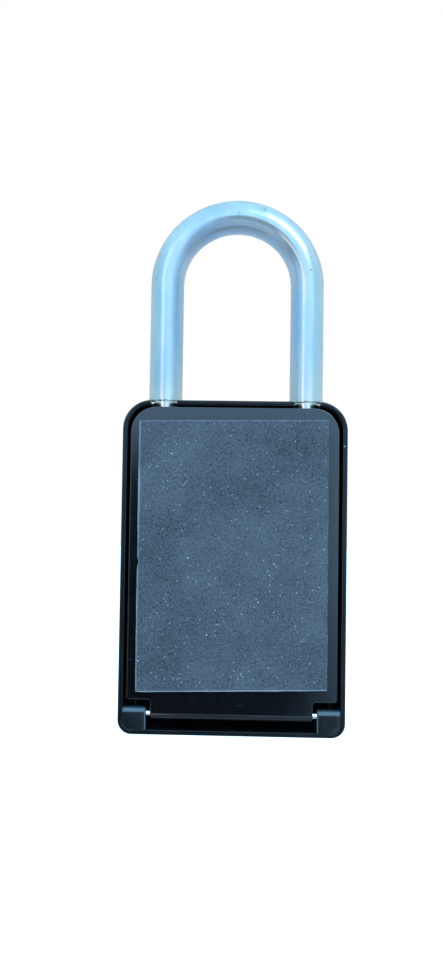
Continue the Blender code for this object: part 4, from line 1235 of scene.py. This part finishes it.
# Screws: head radius, head height, shank radius.
coverScrew = (0.0022, 0.0012, 0.0012)
caseScrew = (0.0019, 0.0012, 0.0010)
smallScrew = (0.0016, 0.0010, 0.0008)


def pair(stem):
    return [stem + "_left", stem + "_right"]


screwSets = (  # name, body, size, way the head faces, solids
    ("coverScrews", "door", coverScrew, "back", pair("cover_screw_lower") + pair("cover_screw_upper")),
    ("carrierScrews", "door", smallScrew, "back", pair("carrier_screw")),
    ("detentScrews", "door", smallScrew, "up", pair("detent_screw")),
    ("retainerScrews", "case", caseScrew, "down", pair("retainer_screw")),
    ("strikeScrews", "case", caseScrew, "down", pair("strike_screw")),
    ("leverScrew", "latch", smallScrew, "back", ["lever_screw"]),
)
screwTurns = {
    "back": (math.radians(-90), 0.0, 0.0),
    "up": (0.0, 0.0, 0.0),
    "down": (math.radians(180), 0.0, 0.0),
}


def makeScrews():
    for name, body, (headRadius, headHeight, shank), way, nodes in screwSets:
        seats = []
        for node in nodes:
            low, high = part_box(node)
            seat = (low + high) / 2
            if way == "back":
                seat.y = high.y - headHeight
                length = seat.y - low.y
            else:
                seat.z = high.z - headHeight if way == "up" else low.z + headHeight
                length = high.z - headHeight - low.z
            seats.append(tuple(seat))
        values = {"Head Radius": headRadius, "Head Height": headHeight, "Shank Radius": shank,
                  "Length": length, "Turn": screwTurns[way]}
        piece = runBuild(name, screwTree, seats, [], values, plainSteel, 40)
        place(piece, body, "steel", *nodes)


makeScrews()
print("screws made")


insideParts = (  # solid, finish, body, slot, edge
    ("inner_cover", innerBlack, "door", "cover_plastic", 0.0003),
    ("dial_carrier", innerBlack, "door", "cover_plastic", 0.0002),
    ("detent_spring", plainSteel, "door", "steel", 0.0001),
    ("dial_shaft", pinSteel, "door", "steel", 0.0003),
    ("latch_plate", plainSteel, "latch", "steel", 0.0002),
    ("reset_lever", leverGrey, "reset", "lever_plastic", 0.0003),
    ("shackle_catch", plainSteel, "catch", "steel", 0.0002),
    ("catch_retainer", plainSteel, "case", "steel", 0.0001),
    ("strike_plate", plainSteel, "case", "steel", 0.0002),
    ("key_hook", pinSteel, "case", "steel", 0.0002),
    ("leg_bush_left", innerBlack, "case", "cover_plastic", 0.0003),
    ("leg_bush_right", innerBlack, "case", "cover_plastic", 0.0003),
)
for part in insideParts:
    refine(*part)
print("inner parts made")


view = {"place": (-0.00375, 0.34202, 0.07844), "turn": -1.484, "tip": 2.27, "roll": 0.86, "lens": 33.75}


def makeCamera():
    turn, tip, roll = (math.radians(view[key]) for key in ("turn", "tip", "roll"))
    forward = Vector((-math.sin(turn) * math.cos(tip), -math.cos(turn) * math.cos(tip), math.sin(tip)))
    level = Vector((-math.cos(turn), math.sin(turn), 0))
    upright = level.cross(forward)
    right = math.cos(roll) * level + math.sin(roll) * upright
    up = math.cos(roll) * upright - math.sin(roll) * level
    data = bpy.data.cameras.new("camera")
    data.lens = view["lens"]
    data.sensor_width = 36
    data.clip_start = 0.01
    camera = addObject("camera", data)
    turned = Matrix((right, up, -forward)).transposed().to_4x4()
    camera.matrix_world = Matrix.Translation(view["place"]) @ turned
    bpy.context.scene.camera = camera


studio = {
    "dome": 6.0,
    "floorLevel": -0.14,  # the box hangs, and its cover swings down below its foot
    "floor": rgb(0.86, 0.87, 0.88),
    "floorGlow": 0.35,
    "blue": rgb(0.40, 0.70, 1.05),  # what the box's back faces
    "blueLevel": 2.3,
    "dark": rgb(0.012, 0.016, 0.024),
    "sky": rgb(0.80, 0.92, 1.0),
    "above": rgb(0.40, 0.75, 1.0),
    "aboveLevel": 1.9,
    "sideLevel": 1.3,
    "pane": rgb(2.7, 2.7, 2.7),
    "lowBlue": rgb(0.42, 0.60, 0.78),
    "lampSize": 0.9,
    "lampPower": 9.0,
    "lampColour": (0.86, 0.94, 1.0),
    "lampPlace": (-0.7, 0.9, 1.3),
    "lampAim": (0, 0, 0.1),
}


def brighter(colour, level):
    return rgb(*[part * level for part in colour[:3]])


def emptySheet(owner):
    owner.use_nodes = True
    owner.node_tree.nodes.clear()
    return Sheet(owner.node_tree)


def stagePiece(name, shape, material, hiddenFrom):
    piece = addObject(name, meshOf(name, shape))
    piece.data.materials.append(material)
    for rays in hiddenFrom:
        setattr(piece, "visible_" + rays, False)
    return piece


def makeStage():
    white = bpy.data.materials.new("backdropWhite")
    sheet = emptySheet(white)
    glow = sheet.node("ShaderNodeEmission", None, {"Color": rgb(1, 1, 1), "Strength": 1.0})
    sheet.node("ShaderNodeOutputMaterial", None, {"Surface": glow})
    shape = bmesh.new()
    bmesh.ops.create_icosphere(shape, subdivisions=4, radius=studio["dome"])
    dome = stagePiece("backdrop", shape, white, ("diffuse", "glossy", "transmission", "shadow"))
    pale, sheet, shader, where = newFinish(
        "paleFloor", Roughness=0.9, Emission_Color=rgb(1, 1, 1), Emission_Strength=studio["floorGlow"])
    mottle = sheet.cloud(where, 3, 3)
    sheet.feed(shader, {"Base Color": sheet.blend(mottle, studio["floor"], rgb(0.90, 0.90, 0.90))})
    shape = bmesh.new()
    bmesh.ops.create_circle(shape, cap_ends=True, segments=96, radius=studio["dome"] * 0.98)
    floor = stagePiece("floor", shape, pale, ("glossy", "transmission"))
    floor.location.z = studio["floorLevel"]


def makeWorld():
    world = bpy.data.worlds.new("softStudio")
    bpy.context.scene.world = world
    sheet = emptySheet(world)
    x, y, z = sheet.split(sheet.node("ShaderNodeTexCoord", out="Generated"))
    behind = y.rise(-0.25, 0.35)
    down = z * -1.0
    high = z.rise(0.045, 0.115)
    sideGlow = (x * -1.0).rise(0.074, 0.098) * (0.95 - down.rise(0.0, 0.22) * 0.55)
    sideGlow = high.most(sideGlow * (1 - down.rise(0.25, 0.6)))
    backHalf = sheet.blend(sideGlow, studio["dark"], brighter(studio["blue"], studio["blueLevel"]))
    frontHalf = sheet.blend(z.rise(-0.5, 0.2), studio["lowBlue"], studio["sky"])
    colour = sheet.blend(behind, frontHalf, backHalf)
    pane = x.rise(0.40, 0.46) * (1 - x.rise(0.54, 0.60)) * y.rise(0.3, 0.5) * z.rise(-0.35, -0.2)
    colour = sheet.blend(pane, colour, studio["pane"])  # a pale upright window beside the camera
    sides = abs(x).rise(0.62, 0.85) * (z + 0.3).rise(0.0, 0.3)
    colour = sheet.blend(sides, colour, brighter(studio["above"], studio["sideLevel"]))
    colour = sheet.blend(z.rise(0.35, 0.75), colour, brighter(studio["above"], studio["aboveLevel"]))
    colour = sheet.blend(down.rise(0.30, 0.55), colour, studio["lowBlue"])
    glow = sheet.node("ShaderNodeBackground", None, {"Color": colour, "Strength": 1.0})
    sheet.node("ShaderNodeOutputWorld", None, {"Surface": glow})


def makeLamp():
    data = bpy.data.lights.new("softLamp", "AREA")
    data.shape = "DISK"
    data.size = studio["lampSize"]
    data.energy = studio["lampPower"]
    data.color = studio["lampColour"]
    lamp = addObject("softLamp", data)
    spot = Vector(studio["lampPlace"])
    turned = (spot - Vector(studio["lampAim"])).to_track_quat("Z", "Y").to_matrix().to_4x4()
    lamp.matrix_world = Matrix.Translation(spot) @ turned


makeCamera()
makeStage()
makeWorld()
makeLamp()
bpy.context.scene.view_settings.view_transform = "Standard"
print("camera, stage and light ready")
